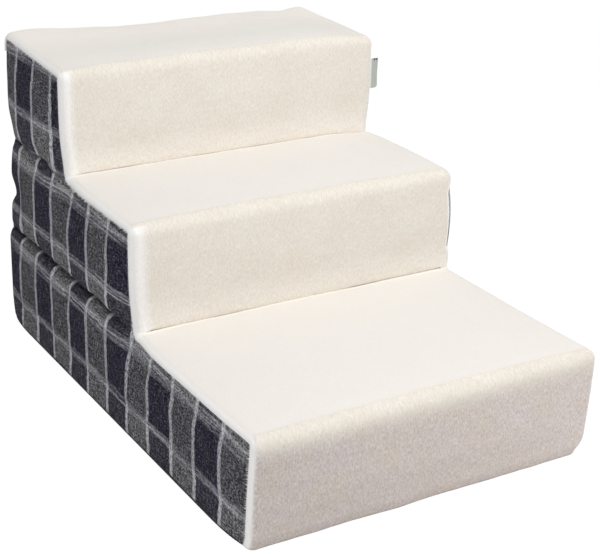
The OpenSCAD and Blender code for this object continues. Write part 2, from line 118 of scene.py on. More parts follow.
def fillet_path(corners, radii, arc_steps=10):
    """Points along a flat polyline whose inner corners are arcs."""
    corners = [np.array(c, float) for c in corners]
    points = [corners[0]]
    for before, corner, after, radius in zip(corners, corners[1:], corners[2:], radii):
        u = (before - corner) / np.linalg.norm(before - corner)
        v = (after - corner) / np.linalg.norm(after - corner)
        half = math.acos(float(np.clip(u @ v, -1, 1))) / 2
        centre = corner + (u + v) / np.linalg.norm(u + v) * radius / math.sin(half)
        start = corner + u * radius / math.tan(half) - centre
        end = corner + v * radius / math.tan(half) - centre
        turn = math.pi - 2 * half
        for share in np.linspace(0, 1, arc_steps + 1):
            arm = start * math.sin((1 - share) * turn) + end * math.sin(share * turn)
            points.append(centre + arm / math.sin(turn))
    return np.array(points + [corners[-1]])


def resampled(points, step):
    """The same path with points at even distances."""
    gaps = np.linalg.norm(np.diff(points, axis=0), axis=1)
    along = np.concatenate([[0], np.cumsum(gaps)])
    even = np.linspace(0, along[-1], int(round(along[-1] / step)) + 1)
    return np.stack([np.interp(even, along, column) for column in points.T], 1)


def left_of(ahead):
    """Unit vectors to the left of flat directions."""
    ahead = ahead / np.linalg.norm(ahead, axis=1)[:, None]
    return np.stack([-ahead[:, 1], ahead[:, 0]], 1)


def field(x, y, z, size, seed):
    """Soft noise from -1 to 1 at each point, with waves about size long."""
    shape = np.broadcast(x, y, z).shape
    xs, ys, zs = (np.broadcast_to(a, shape).ravel() / size for a in (x, y, z))
    values = [noise.noise(Vector((a + seed, b, c))) for a, b, c in zip(xs, ys, zs)]
    return np.array(values).reshape(shape)


def edge_radius(side):
    """Radius of the runner's rolled edge on a side; the left is -1 and the right 1."""
    return np.where(np.asarray(side) < 0, EDGE_R_LEFT, EDGE_R_RIGHT)


# The cover's side outline, from the toe over the steps and down the back, in Y and Z
TOE_IN = 9 * MM
TOE_H = 10 * MM
FRONT_LEAN = 5 * MM
NOSING_R = 7.5 * MM
FOOT_R = 2 * MM
BACK_NOSING_R = 12 * MM
ROUTE_STEP = 2.5 * MM

# The leaning, swelling back edge from the floor up: a level, how far above it a place lies, and
# how far in from the frame's back, in millimetres
BACK_PLACES = [
    (level + up * MM, BACK_Y - inward * MM)
    for level, up, inward in (
        (LOW_Z, 0, 4), (LOW_Z, 12, 1), (LOW_Z, 35, -1), (CREASE_1_Z, -20, -1),
        (CREASE_1_Z, 1, 3), (CREASE_1_Z, 6, 9), (CREASE_1_Z, 14, 9), (CREASE_1_Z, 40, 11),
        (CREASE_1_Z, 90, 16), (CREASE_2_Z, -4, 23), (CREASE_2_Z, 6, 29), (CREASE_2_Z, 16, 26),
        (CREASE_2_Z, 36, 16), (CREASE_2_Z, 76, 15), (CREASE_2_Z, 130, 20),
    )
]
# The left back corner is pinched in half way up the middle slab
NOTCH_DEEP = 15 * MM
NOTCH_Z = CREASE_1_Z + 56 * MM
NOTCH_HALF = 11 * MM
NOTCH_REACH = 90 * MM

# How far the top tread's back edge sags, as places across it in millimetres
SAG_PLACES = np.array([
    (-190, -1), (-172, -1), (-135, 2), (-99, 5), (-63, 8.5), (-26, 9.5), (10, 9), (47, 9),
    (83, 8), (120, 8.5), (156, 11), (174, 8), (190, 6),
]) * MM
RIGHT_DROP = 4 * MM

# Where the stuffed sides draw in, or are full: how far on the left and on the right, the place
# in Y and Z, and how far that reaches
WAISTS = (
    (4 * MM, 0.5 * MM, FACE_YS[1], FACE_ZS[0], 32 * MM),
    (4 * MM, 4 * MM, FACE_YS[2], FACE_ZS[1], 32 * MM),
    (1.5 * MM, 0, FACE_YS[0], FACE_ZS[0], 45 * MM),
    (0, 3 * MM, FACE_YS[1], FACE_ZS[1], 28 * MM),
    (0, -3.6 * MM, FACE_YS[1], (FACE_ZS[0] + FACE_ZS[1]) / 2, 40 * MM),
    (0, -3.5 * MM, FACE_YS[0], FACE_ZS[0] - 30 * MM, 75 * MM),
)
# The right side also draws in at the floor
FLOOR_WAIST = 6 * MM
FLOOR_WAIST_REACH = 18 * MM


def spline(places, at):
    """A smooth curve through the places, without overshoot, at each value."""
    xs, ys = np.array(places, float).T
    slopes = np.diff(ys) / np.diff(xs)
    tangents = np.concatenate([[slopes[0]], (slopes[1:] + slopes[:-1]) / 2, [slopes[-1]]])
    turning = np.concatenate([[False], slopes[1:] * slopes[:-1] <= 0, [False]])
    tangents[turning] = 0
    at = np.clip(at, xs[0], xs[-1])
    k = np.clip(np.searchsorted(xs, at) - 1, 0, len(xs) - 2)
    width = xs[k + 1] - xs[k]
    t = (at - xs[k]) / width
    bend = tangents[k] * (1 - t) - tangents[k + 1] * t
    return ys[k] + (ys[k + 1] - ys[k]) * t * t * (3 - 2 * t) + bend * width * t * (1 - t)


def back_edge(z, x=0.0):
    """How far back the cover reaches at a height, and less where the left corner is pinched."""
    pinch = np.exp(-(((z - NOTCH_Z) / NOTCH_HALF) ** 2)) * (1 - smooth(x + SIDE_X, NOTCH_REACH))
    return spline(BACK_PLACES, z) - NOTCH_DEEP * pinch


def lift(y):
    """How much the top step rises towards the back."""
    return TOP_LIFT * clamp01(y - FACE_YS[2], TOP_BACK_Y - FACE_YS[2])


def top_sag(x, y):
    """How much the top tread sinks at a place: at its back edge, and all along its right side."""
    share = (y - FACE_YS[2]) / (TOP_BACK_Y - FACE_YS[2])
    back = smooth(share)
    right = RIGHT_DROP * smooth(x - 130 * MM, 60 * MM) * smooth(share * 12 + 1)
    return spline(SAG_PLACES, x) * back + right * (1 - back)


def waist(y, z, side):
    """How far a side draws in at a place on it; side is -1 on the left and 1 on the right."""
    floor = FLOOR_WAIST * (1 - smooth(z - CLOTH_Z, FLOOR_WAIST_REACH))
    drawn = np.where(side < 0, 0, floor)
    for left, right, at_y, at_z, reach in WAISTS:
        near = np.exp(-((y - at_y) ** 2 + (z - at_z) ** 2) / reach ** 2)
        drawn = drawn + np.where(side < 0, left, right) * near
    return drawn


BACK_TOP_Y = float(back_edge(FACE_ZS[2]))
CORNERS = [
    (FACE_YS[0] + TOE_IN, LOW_Z), (FACE_YS[0] + FRONT_LEAN, LOW_Z + TOE_H),
    (FACE_YS[0], FACE_ZS[0]), (FACE_YS[1], FACE_ZS[0]), (FACE_YS[1], FACE_ZS[1]),
    (FACE_YS[2], FACE_ZS[1]), (FACE_YS[2], FACE_ZS[2]),
    (BACK_TOP_Y, FACE_ZS[2] + TOP_LIFT), (float(back_edge(HEM_Z)), HEM_Z),
]
RADII = [TOE_H, NOSING_R, FOOT_R, NOSING_R, FOOT_R, NOSING_R, BACK_NOSING_R]
FOOT_CORNERS = (3, 5)
NOSING_CORNERS = (2, 4, 6, 7)
# The nosings over which the risers' painted shade reaches
PAINTED_SHADE_NOSINGS = (2, 4)
ROUTE = resampled(fillet_path(CORNERS, RADII), ROUTE_STEP)
NORMALS = left_of(np.gradient(ROUTE, axis=0))
STATION_Y, STATION_Z = ROUTE[:, :1], ROUTE[:, 1:]
NORMAL_Y, NORMAL_Z = NORMALS[:, :1], NORMALS[:, 1:]


def side_outline(x):
    """The whole outline at one side: the route, then the back edge down to the floor."""
    heights = np.linspace(HEM_Z, LOW_Z, 160)[1:]
    down = np.stack([back_edge(heights, x), heights], 1)
    return resampled(np.concatenate([ROUTE, down]), 1 * MM)


def distances(points, places):
    """For each point, the distance to the nearest of the places."""
    nearest = np.full(len(points), 1.0)
    for chunk in np.array_split(places, len(places) // 100 + 1):
        gaps = np.linalg.norm(points[:, None] - chunk[None], axis=2)
        nearest = np.minimum(nearest, gaps.min(1))
    return nearest


def from_corners(indices):
    """For each station, the distance to the nearest of these corners."""
    return distances(ROUTE, np.array([CORNERS[i] for i in indices]))[:, None]


def add_object(name, data):
    """A new object in the scene."""
    made = bpy.data.objects.new(name, data)
    bpy.context.scene.collection.objects.link(made)
    return made


def new_piece(name, points, faces):
    """A mesh object from points and faces, riding on the stairs."""
    mesh = bpy.data.meshes.new(name)
    mesh.from_pydata([tuple(p) for p in points], [], faces)
    mesh.update()
    piece = add_object(name, mesh)
    for polygon in mesh.polygons:
        polygon.use_smooth = True
    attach(piece, "stairs")
    return piece


def new_grid(name, grid, has_cell=None, flip=False):
    """A sheet over a grid of points that come column by column."""
    columns, rows = grid.shape[:2]
    faces = []
    for i in range(columns - 1):
        for j in range(rows - 1):
            if has_cell is not None and not has_cell[i][j]:
                continue
            a = i * rows + j
            face = (a, a + rows, a + rows + 1, a + 1)
            faces.append(face[::-1] if flip else face)
    return new_piece(name, grid.reshape(-1, 3), faces)


def add_rings(points, faces, rings):
    """Adds a closed solid over rings of points that all have the same count."""
    start = len(points)
    count = len(rings[0])
    for ring in rings:
        points += list(ring)
    last = len(points) - count
    for first in range(start, last, count):
        for k in range(count):
            a, b = first + k, first + (k + 1) % count
            faces.append((a, b, b + count, a + count))
    faces.append(tuple(range(start + count - 1, start - 1, -1)))
    faces.append(tuple(range(last, last + count)))


def thicken(piece, thickness, offset=-1):
    """Gives a sheet its thickness, inwards from the face that shows unless told otherwise."""
    layer = piece.modifiers.new("thickness", "SOLIDIFY")
    layer.thickness = thickness
    layer.offset = offset
    layer.use_quality_normals = offset < 0


def store_map(piece, name, u, v):
    """Stores where each point lies in its cloth."""
    places = np.stack([np.ravel(u), np.ravel(v)], 1)
    layer = piece.data.uv_layers.new(name=name)
    for loop in piece.data.loops:
        layer.data[loop.index].uv = places[loop.vertex_index]


def store_shade(piece, name, colours):
    """Stores four values at each point, for the cloth's colour."""
    layer = piece.data.color_attributes.new(name=name, type="FLOAT_COLOR", domain="POINT")
    layer.data.foreach_set("color", np.ravel(colours).astype(np.float32))


# The runner's rolled bands, its faces, and where light and shade are painted on its pile. The painted
# highlight along the left edge is wider on the two upper risers, which are counted from the floor.
WIDE_EDGE_HIGHLIGHTS = ((1, 11 * MM), (2, 5 * MM))
PAINTED_LIGHT_REACH = 45 * MM
FACE_CROWN = 4 * MM
CROWN_START = 25 * MM
FOOT_REACH = 4.5 * MM
FOOT_HEIGHT = 5 * MM
BAND_STEPS = 9
FACE_STEPS = 92
TUCK = 0.12

# On the right, the middle riser's seam has rolled to the front, so a sliver of plaid shows there
ROLL = math.radians(71)
ROLL_Z = (FACE_ZS[0] + FACE_ZS[1]) / 2 + 3 * MM
ROLL_HALF = 48 * MM

# Across the runner: how far round its rolled edge each column lies, from 1 at a seam to 0 on
# the face, its side, and the places of those on the face
BAND = np.linspace(1 + TUCK, 0, BAND_STEPS + 1)
FACE_XS = np.linspace(EDGE_R_LEFT - SIDE_X, SIDE_X - EDGE_R_RIGHT, FACE_STEPS + 1)[1:-1]
TURNS = np.concatenate([BAND, 0 * FACE_XS, BAND[::-1]])
SIDES = np.concatenate([-1 + 0 * BAND, np.sign(FACE_XS) + (FACE_XS == 0), 1 + 0 * BAND])


def column_places(on_bands):
    """The columns' places across: these on the two bands, and their own on the face."""
    places = SIDES * on_bands
    places[len(BAND):-len(BAND)] = FACE_XS
    return places


def roll_share(z):
    """1 along the rolled part of the right seam, 0 beyond its ends."""
    return smooth(ROLL_HALF - np.abs(z - ROLL_Z), 18 * MM)


def seam_angles():
    """The seams' angles on the edge profile, station by station and column by column."""
    angles = TREAD_SEAM + (RISER_SEAM - TREAD_SEAM) * np.maximum(0, -NORMAL_Y) ** 2
    angles += (BACK_SEAM - TREAD_SEAM) * np.maximum(0, NORMAL_Y) ** 2
    padded = np.pad(angles[:, 0], 2, mode="edge")
    angles = np.convolve(padded, np.ones(5) / 5, mode="valid")[:, None]
    middle = (STATION_Y > FACE_YS[1] - 1 * MM) & (STATION_Y < FACE_YS[1] + NOSING_R)
    return np.where(SIDES < 0, angles, angles - ROLL * roll_share(STATION_Z) * middle)


def runner_grid():
    """Points of the runner's outer face, station by station."""
    theta = seam_angles() * TURNS
    radius = edge_radius(SIDES)
    x = column_places(SIDE_X - radius) + SIDES * radius * np.sin(theta)
    drops = radius * (1 - np.cos(theta)) + SEAM_SINK * smooth(TURNS - 0.8, 0.25)
    y = STATION_Y + 0 * x
    z = STATION_Z + 0 * x

    foot = from_corners(FOOT_CORNERS)
    nosing = from_corners(NOSING_CORNERS)
    swell = (1 - np.exp(-foot / CROWN_START)) * (1 - 0.5 * np.exp(-nosing / CROWN_START))
    swell *= smooth(STATION_Z - CLOTH_Z, 50 * MM)
    height = np.where(np.abs(NORMAL_Y) > 0.5, FOOT_HEIGHT, FOOT_HEIGHT / 3)
    reach = FOOT_REACH * np.exp(-foot / height)
    reach = reach * (1 - smooth(np.abs(x) - (SIDE_X - 18 * MM), 14 * MM))
    across = clamp01(np.abs(x), SIDE_X - radius)
    waves = 1.1 * MM * field(x, y, z, 70 * MM, 3) + 0.5 * MM * field(x, y, z, 20 * MM, 9)
    out = FACE_CROWN * swell * (1 - across ** 4) + waves * (1 - 0.7 * across ** 6) - drops
    return np.stack([
        x * (1 - waist(y, z, SIDES) / SIDE_X),
        y + NORMAL_Y * out + reach,
        z + NORMAL_Z * out - top_sag(x, y),
    ], 2)


def pile_shade():
    """Red: how much of a riser a place is, for the risers' painted shade. Green: how far down the
    lowest riser. Blue: painted highlight on the rolled edges. Alpha: painted light at the foot of an
    upper riser and at the back of the top tread."""
    y, z = STATION_Y, STATION_Z
    # Painted highlight along both rolled edges, wider on the left of the two upper risers
    edge_highlight = smooth(TURNS - 0.3, 0.45) + 0 * y
    across = column_places(SIDE_X)
    for k, width in WIDE_EDGE_HIGHLIGHTS:
        on_face = (z > FACE_ZS[k - 1]) & (z < FACE_ZS[k]) & (NORMAL_Y < -0.5)
        on_face &= np.abs(y - FACE_YS[k]) < NOSING_R
        wide = smooth(1 - (across + SIDE_X - 7 * MM) / width) * on_face
        edge_highlight = np.maximum(edge_highlight, 0.6 * wide)
    # Painted shade on the risers, reaching up over the two lower nosings, and none under the edge
    # highlight
    lip = smooth(11 * MM - from_corners(PAINTED_SHADE_NOSINGS), 5 * MM)
    riser = np.maximum(smooth(0.02 - NORMAL_Y, 0.42), lip) * (1 - edge_highlight)
    lowest = smooth(FACE_ZS[0] - z - 3 * MM, 22 * MM) * (y < FACE_YS[0] + 2 * NOSING_R)
    # Painted light: at the back of the top tread, and at the foot of each upper riser
    painted_light = 0.9 * smooth(y - FACE_YS[2] - 40 * MM, 90 * MM)
    for face_y, foot_z in zip(FACE_YS[1:], FACE_ZS[:2]):
        on_face = (np.abs(y - face_y) < NOSING_R) & (z > foot_z - 1 * MM)
        painted_light += 0.8 * on_face * (1 - smooth(z - foot_z, PAINTED_LIGHT_REACH))
    return np.stack(np.broadcast_arrays(riser, lowest, edge_highlight, painted_light), 2)


def make_runner(grid):
    """The plush runner: crowned faces, rolled borders and a deep crease at the foot of each riser."""
    piece = new_grid("plush_runner_cloth", grid)
    along = np.arange(len(grid))[:, None] * ROUTE_STEP
    store_map(piece, "pile", grid[:, :, 0], along + 0 * grid[:, :, 0])
    store_shade(piece, "pile_shade", pile_shade())
    thicken(piece, RUNNER_T)
    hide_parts("plush_runner")
    return piece


# Pile that the seam has caught: short tufts that lie out over the plaid's edge
TUFT_PITCH = 1.9 * MM
TUFT_LONG = 3.8 * MM
TUFT_HALF = 0.9 * MM
TUFT_OUT = 3.4 * MM
TUFT_DEEP = 1.5 * MM
TUFT_FACES = ((0, 2, 4), (2, 1, 4), (1, 3, 4), (3, 0, 4), (0, 3, 1, 2))


def tuft_points(seam, within, side, i):
    """The five points of one tuft: two down in the seam, two across its root, and its tip."""
    out = seam[i] - within[i]
    out /= np.linalg.norm(out)
    along = seam[i + 1] - seam[i - 1]
    along /= np.linalg.norm(along)
    length = TUFT_LONG * (0.5 + 0.5 * noise.noise(Vector((i * 0.7, side, 0.5))))
    lean = 0.6 * noise.noise(Vector((i * 0.9, side, 7.5)))
    rolled = side > 0 and abs(seam[i][1] - FACE_YS[1]) < EDGE_R_RIGHT
    short = 1 - 0.75 * rolled * float(roll_share(seam[i][2]))
    aside = np.array([side * TUFT_OUT * short, 0, 0])
    root = seam[i] + aside * 0.7
    deep = seam[i] - out * TUFT_DEEP
    tip = root + (out + along * lean) * length * short + aside * 0.5
    up = np.cross(along, out) * TUFT_HALF
    return [deep + along * TUFT_HALF, deep - along * TUFT_HALF, root + up, root - up, tip]


def make_tufts(grid):
    """Cream tufts along both side seams of the runner."""
    points, faces = [], []
    for line, inner, side in ((1, 4, -1), (-2, -5, 1)):
        seam = resampled(grid[:, line], TUFT_PITCH)
        shares = np.linspace(0, 1, len(seam))
        stations = np.linspace(0, 1, len(grid))
        within = np.stack([np.interp(shares, stations, row) for row in grid[:, inner].T], 1)
        for i in range(1, len(seam) - 1):
            if seam[i][1] > TOP_BACK_Y - 30 * MM:
                break
            faces += [tuple(len(points) + k for k in face) for face in TUFT_FACES]
            points += tuft_points(seam, within, side, i)
    return new_piece("seam_tufts", points, faces)


# Side panels: how far the side cloth swells over each slab, and its creases
SIDE_SWELL = 3.8 * MM
SWELL_START = 42 * MM
CREASE_START = 12 * MM
BOTTOM_SWELL = 2 * MM
FLOOR_ROUNDING = 1 * MM
CREASE_DEEP = 10 * MM
UPPER_CREASE_SHARE = 0.45
CREASE_HALF = 2.6 * MM
CORNER_R = 5 * MM
FOLD_HALF = 2.6 * MM
NEAR_LINES = np.array([0, 0.7, 1.6, 2.8, 4.4, 6.4, 8.8, 11.6]) * MM
GRID_STEP = 4 * MM

# How the woven check moves, as heights and then as places along the side. The cloth was cut
# for each slab's height and sewn in with some slack, and above the upper crease it starts anew.
CLOTH_START_Y = FRONT_Y + 7 * MM
CLOTH_SHIFTS = (
    (0, 0), (CREASE_1_Z, 0), (CREASE_1_Z + 10 * MM, 3 * MM), (CREASE_1_Z + 60 * MM, 6 * MM),
    (CREASE_2_Z, 8 * MM), (CREASE_2_Z + 120 * MM, 9 * MM),
)
CLOTH_CREEP = (
    (FRONT_Y, 6 * MM), (FRONT_Y + 100 * MM, 3 * MM), (FRONT_Y + 350 * MM, 3 * MM),
    (FRONT_Y + 470 * MM, 8 * MM), (BACK_Y, 13 * MM),
)
FRONT_DROP = 4 * MM
UPPER_SHIFT = -47 * MM
UPPER_LIFT = -14 * MM


def block_lines(start, end):
    """Grid lines over a block, close together near both of its ends."""
    inner = int(round((end - start - 2 * NEAR_LINES[-1]) / GRID_STEP))
    middle = np.linspace(start + NEAR_LINES[-1], end - NEAR_LINES[-1], inner + 1)[1:-1]
    return np.concatenate([start + NEAR_LINES, middle, (end - NEAR_LINES)[::-1]])


def grid_lines(edges):
    """Grid lines over the blocks between these edges, and the block of each line."""
    lines = [block_lines(a, b) for a, b in zip(edges, edges[1:])]
    places = np.concatenate([v[:-1] for v in lines] + [edges[-1:]])
    blocks = [k for k, v in enumerate(lines) for _ in v[:-1]] + [len(lines) - 1]
    return places, np.array(blocks)


def round_corner(y, z, corner_y, corner_z, way, limit):
    """Moves the grid near a corner onto a quarter disc; way is -1 at a front, 1 at the back."""
    a = (way * (y - corner_y) + CORNER_R) / CORNER_R
    b = (z - corner_z + CORNER_R) / CORNER_R
    inside = (a > 0) & (a <= limit) & (b > 0) & (b <= limit)
    a, b = clamp01(a), clamp01(b)
    round_y = corner_y + way * CORNER_R * (a * np.sqrt(1 - b * b / 2) - 1)
    round_z = corner_z + CORNER_R * (b * np.sqrt(1 - a * a / 2) - 1)
    return np.where(inside, round_y, y), np.where(inside, round_z, z)


def side_places(side):
    """A side's grid in Y and Z, its lines along Y, and which of its cells the side has."""
    edge_r = float(edge_radius(side))
    starts = [y + edge_r * (1 - math.cos(RISER_SEAM)) for y in FACE_YS]
    levels = [LOW_Z] + [z - edge_r * (1 - math.cos(TREAD_SEAM)) for z in FACE_ZS]
    flat_back = BACK_Y - BACK_IN
    ys, column = grid_lines(starts + [flat_back])
    zs, row = grid_lines(levels)
    y, z = np.meshgrid(ys, zs, indexing="ij")

    tilted = clamp01(z - levels[2], levels[3] - levels[2])
    z = z + (lift(y) - top_sag(side * SIDE_X, y)) * tilted
    toe = (TOE_IN - FRONT_LEAN) * clamp01(1 - (z - LOW_Z) / TOE_H)
    toe = toe + FRONT_LEAN * clamp01(1 - (z - LOW_Z) / (levels[1] - LOW_Z))
    y = y + toe * clamp01(1 - (y - starts[0]) / (60 * MM))
    if side > 0:
        rolled = edge_r * (math.cos(RISER_SEAM - ROLL) - math.cos(RISER_SEAM)) * roll_share(z)
        on_middle = (column == 1)[:, None] & (row >= 1)
        y = y - rolled * on_middle * clamp01(1 - (y - starts[1]) / (40 * MM))
    share = clamp01(y - starts[2], flat_back - starts[2])
    y = y + share * (back_edge(z, side * SIDE_X) - BACK_IN - flat_back)

    for corner_y, corner_z in zip(starts, levels[1:]):
        raised = (lift(y) - top_sag(side * SIDE_X, y)) * (corner_z == levels[3])
        y, z = round_corner(y, z, corner_y, corner_z + raised, -1, 1.001)
    back_z = levels[3] + TOP_LIFT - float(top_sag(side * SIDE_X, TOP_BACK_Y))
    y, z = round_corner(y, z, BACK_TOP_Y - BACK_IN, back_z, 1, np.inf)
    return y, z, ys, row <= column[:, None]


def side_rounding(z, inset, edge_r):
    """How far a side lies in from flat: round at its edges, and fuller at the bottom."""
    drop = edge_r * rounded(1 - clamp01(inset, edge_r))
    drop = drop + FLOOR_ROUNDING * rounded(1 - clamp01(z - LOW_Z, 4 * MM))
    low = 1 - smooth(z - LOW_Z, 60 * MM)
    return drop - BOTTOM_SWELL * low * smooth(inset, 60 * MM)


def crease_at(ys, y, z, line_z, wander, face_y, seed):
    """A wandering crease: its line, how far from it each place is, and how it fades in."""
    line = line_z + wander * field(ys, 0, 0, 60 * MM, seed)[:, None]
    return line, np.abs(z - line), smooth(y - face_y - 5 * MM, 60 * MM)


def fold_share(distance):
    """1 in the bottom of a crease, 0 a few millimetres away."""
    return np.exp(-((distance / FOLD_HALF) ** 2))


def cloth_map(piece, u, v, into_fold, above):
    """Stores where each point lies in the woven cloth, with the cloth that a fold takes in."""
    store_map(piece, "cloth", u + UPPER_SHIFT * above, v + into_fold + UPPER_LIFT * above)


def make_side_panel(side, name, seed):
    """One plaid side: it swells over each slab and folds in where two slabs meet."""
    y, z, ys, cells = side_places(side)
    places = np.stack([y.ravel(), z.ravel()], 1)
    inset = distances(places, side_outline(side * SIDE_X)).reshape(y.shape)
    line_1, from_1, fade_1 = crease_at(ys, y, z, LOWER_FOLD_Z, 2 * MM, FACE_YS[1], seed)
    line_2, from_2, fade_2 = crease_at(ys, y, z, UPPER_FOLD_Z, 4 * MM, FACE_YS[2], seed + 5)
    swell = SIDE_SWELL * rise_from(inset, SWELL_START)
    swell *= 1 - fade_1 * (1 - rise_from(from_1, CREASE_START))
    swell *= 1 - fade_2 * (1 - rise_from(from_2, CREASE_START))
    crease = CREASE_DEEP * fade_1 * np.exp(-from_1 / CREASE_HALF)
    crease += UPPER_CREASE_SHARE * CREASE_DEEP * fade_2 * np.exp(-from_2 / CREASE_HALF)
    waves = 1.2 * MM * field(y, z, side, 55 * MM, seed)
    waves += 0.5 * MM * field(y, z, side, 20 * MM, seed + 2)
    waves *= smooth(inset, 25 * MM)
    x = SIDE_X - side_rounding(z, inset, float(edge_radius(side))) + swell - crease + waves
    x = side * (x - waist(y, z, side))
    piece = new_grid(name, np.stack([x, y, z], 2), cells, side < 0)

    into_fold = crease * np.sign(np.where(from_1 < from_2, line_1, line_2) - z)
    shift = np.interp(z, *zip(*CLOTH_SHIFTS)) + np.interp(y, *zip(*CLOTH_CREEP))
    drop = FRONT_DROP * (1 - smooth(y - FRONT_Y, 80 * MM))
    cloth_map(piece, y - CLOTH_START_Y + shift, z + drop, into_fold, z > line_2)
    # Painted shade: the fold mask darkens the plaid in the bottom of each crease, and it also holds the
    # cloth there
    folded = fade_1 * fold_share(from_1)
    folded = np.maximum(folded, UPPER_CREASE_SHARE * fade_2 * fold_share(from_2))
    store_shade(piece, "fold", np.repeat(folded, 4))
    free = smooth(inset, 35 * MM) * smooth(z - LOW_Z - 2 * MM, 40 * MM)
    free = free * (1 - np.maximum(fade_1 * fold_share(from_1 / 3), 0.8 * folded))
    press_out(piece, 1 - free)
    drop_loose(piece)
    thicken(piece, PANEL_T)
    return piece


def drop_loose(piece):
    """Removes the grid points that no face uses."""
    mesh = bmesh.new()
    mesh.from_mesh(piece.data)
    loose = [v for v in mesh.verts if not v.link_faces]
    bmesh.ops.delete(mesh, geom=loose, context="VERTS")
    mesh.to_mesh(piece.data)
    mesh.free()


# Stuffing: a short cloth simulation presses the covers out between their seams
STUFFING = {
    "use_pressure": True, "uniform_pressure_force": 2.0, "shrink_min": -0.012, "quality": 4,
    "mass": 0.4,
}
STUFF_FRAMES = 20
STUFF_CAP = 2.2 * MM


def press_out(piece, held):
    """Lets the foam press a cover out; held is 1 at seams and in creases, 0 where it is free."""
    group = piece.vertex_groups.new(name="held")
    for i, weight in enumerate(np.ravel(held)):
        group.add([i], float(weight), "REPLACE")
    cloth = piece.modifiers.new("stuffing", "CLOTH")
    cloth.settings.vertex_group_mass = group.name
    cloth.settings.effector_weights.gravity = 0
    for setting, value in STUFFING.items():
        setattr(cloth.settings, setting, value)
    cloth.collision_settings.use_collision = False
    cloth.point_cache.frame_start = 1
    cloth.point_cache.frame_end = STUFF_FRAMES
    for frame_number in range(1, STUFF_FRAMES + 1):
        bpy.context.scene.frame_set(frame_number)
    shaped = piece.evaluated_get(bpy.context.evaluated_depsgraph_get()).data
    before, after = (np.empty(len(mesh.vertices) * 3) for mesh in (piece.data, shaped))
    shaped.vertices.foreach_get("co", after)
    piece.data.vertices.foreach_get("co", before)
    move = (after - before).reshape(-1, 3)
    far = np.linalg.norm(move, axis=1)[:, None]
    move *= STUFF_CAP * np.tanh(far / STUFF_CAP) / np.maximum(far, 1e-9)
    piece.modifiers.remove(cloth)
    piece.vertex_groups.remove(group)
    piece.data.vertices.foreach_set("co", before + move.ravel())
    bpy.context.scene.frame_set(1)


# Back panels: they meet the sides half way round the back edges
ZIP_SLOT_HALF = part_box("back_panel_upper")[0].z - ZIP_Z
ZIP_CLOTH_Y = TAPE_HIGH.y + PANEL_T
ZIP_VALLEY = 26 * MM
BACK_SWELL = 2 * MM
BACK_CREASE = 3 * MM
BACK_STEP = 3 * MM
# The zip's opening runs as far as the turned pull reaches
SLOT_END = 2 * PULL_HIGH.x - PULL_LOW.x
SLOT_CLOSE = 5.5 * MM


def back_surface(x, z, seed):
    """How far back the back cloth reaches at a place."""
    over = clamp01((np.abs(x) - SIDE_X) / BACK_EDGE_R + 1)
    from_side = SIDE_X - np.abs(x)
    inner = smooth(from_side, 50 * MM)
    swell = BACK_SWELL * inner * smooth(HEM_Z - z, 30 * MM)
    creases = [np.exp(-np.abs(z - fold_z) / CREASE_HALF) for fold_z in (LOWER_FOLD_Z, UPPER_FOLD_Z)]
    waves = 1.2 * MM * field(x, z, 0, 50 * MM, seed) * inner
    y = back_edge(z, x) - BACK_EDGE_R * rounded(over) + swell - BACK_CREASE * sum(creases) * inner
    valley = np.exp(-(((z - ZIP_Z) / ZIP_VALLEY) ** 4)) * smooth(from_side - 4 * MM, 14 * MM)
    return (y + waves) * (1 - valley) + ZIP_CLOTH_Y * valley


def slot_half(x):
    """Half the height of the zip's opening, which is sewn shut beyond both ends of the zip."""
    return ZIP_SLOT_HALF * (1 - smooth(np.abs(x) - SLOT_END, SLOT_CLOSE)) + 0.1 * MM


def make_back_panel(name, upper, seed):
    """The plaid back panel above the zip or below it."""
    reach = SIDE_X - BACK_EDGE_R * (1 - math.sin(BACK_SEAM))
    xs = block_lines(-reach, reach)
    rows = int(round((HEM_Z - ZIP_Z if upper else ZIP_Z - LOW_Z) / BACK_STEP)) + 1
    x, share = np.meshgrid(xs, np.linspace(0, 1, rows), indexing="ij")
    if upper:
        z_from, z_to = ZIP_Z + slot_half(x), HEM_Z + 2 * MM
    else:
        z_from, z_to = LOW_Z, ZIP_Z - slot_half(x)
    z = z_from + (z_to - z_from) * share
    grid = np.stack([x, back_surface(x, z, seed), z], 2)
    piece = new_grid(name, grid, flip=True)
    above = z > UPPER_FOLD_Z
    fold = BACK_CREASE * np.exp(-np.abs(z - UPPER_FOLD_Z) / CREASE_HALF)
    cloth_map(piece, x + HALF_W, z, np.where(above, -fold, fold), above)
    from_edge = np.minimum(reach - np.abs(x), np.minimum(z - z_from, z_to - z))
    press_out(piece, 1 - smooth(from_edge, 30 * MM))
    thicken(piece, PANEL_T)
    return piece


# Base cloth and its grip dots. The cloth ends just inside the cover's lower edge, but for the
# left side, where its turned-over edge shows as a dark line.
BASE_TOE_IN = 14 * MM
BASE_BACK_IN = 5.5 * MM
BASE_PAST_LEFT = 0.7 * MM
BASE_SHORT_RIGHT = 2 * MM
DOT_PITCH = 15 * MM
DOT_R = 2 * MM
DOT_H = 0.6 * MM
DOT_RINGS = (
    (0.25 * DOT_R, 0), (0.6 * DOT_R, 0.1 * DOT_H), (0.92 * DOT_R, 0.45 * DOT_H),
    (DOT_R, DOT_H + 0.02 * MM),
)
DOT_SIDES = 10


def base_reach(y, side):
    """How far the base cloth reaches to a side at places along it."""
    inset = np.minimum(y - FACE_YS[0] - BASE_TOE_IN, BACK_Y - BASE_BACK_IN - y)
    edge_r = float(edge_radius(side))
    rounding = edge_r * rounded(1 - clamp01(inset, edge_r))
    full = SIDE_SWELL * rise_from(inset, SWELL_START) + BOTTOM_SWELL * smooth(inset, 60 * MM)
    past = BASE_PAST_LEFT if side < 0 else -FLOOR_WAIST - BASE_SHORT_RIGHT
    return SIDE_X - rounding + full - FLOOR_ROUNDING + past


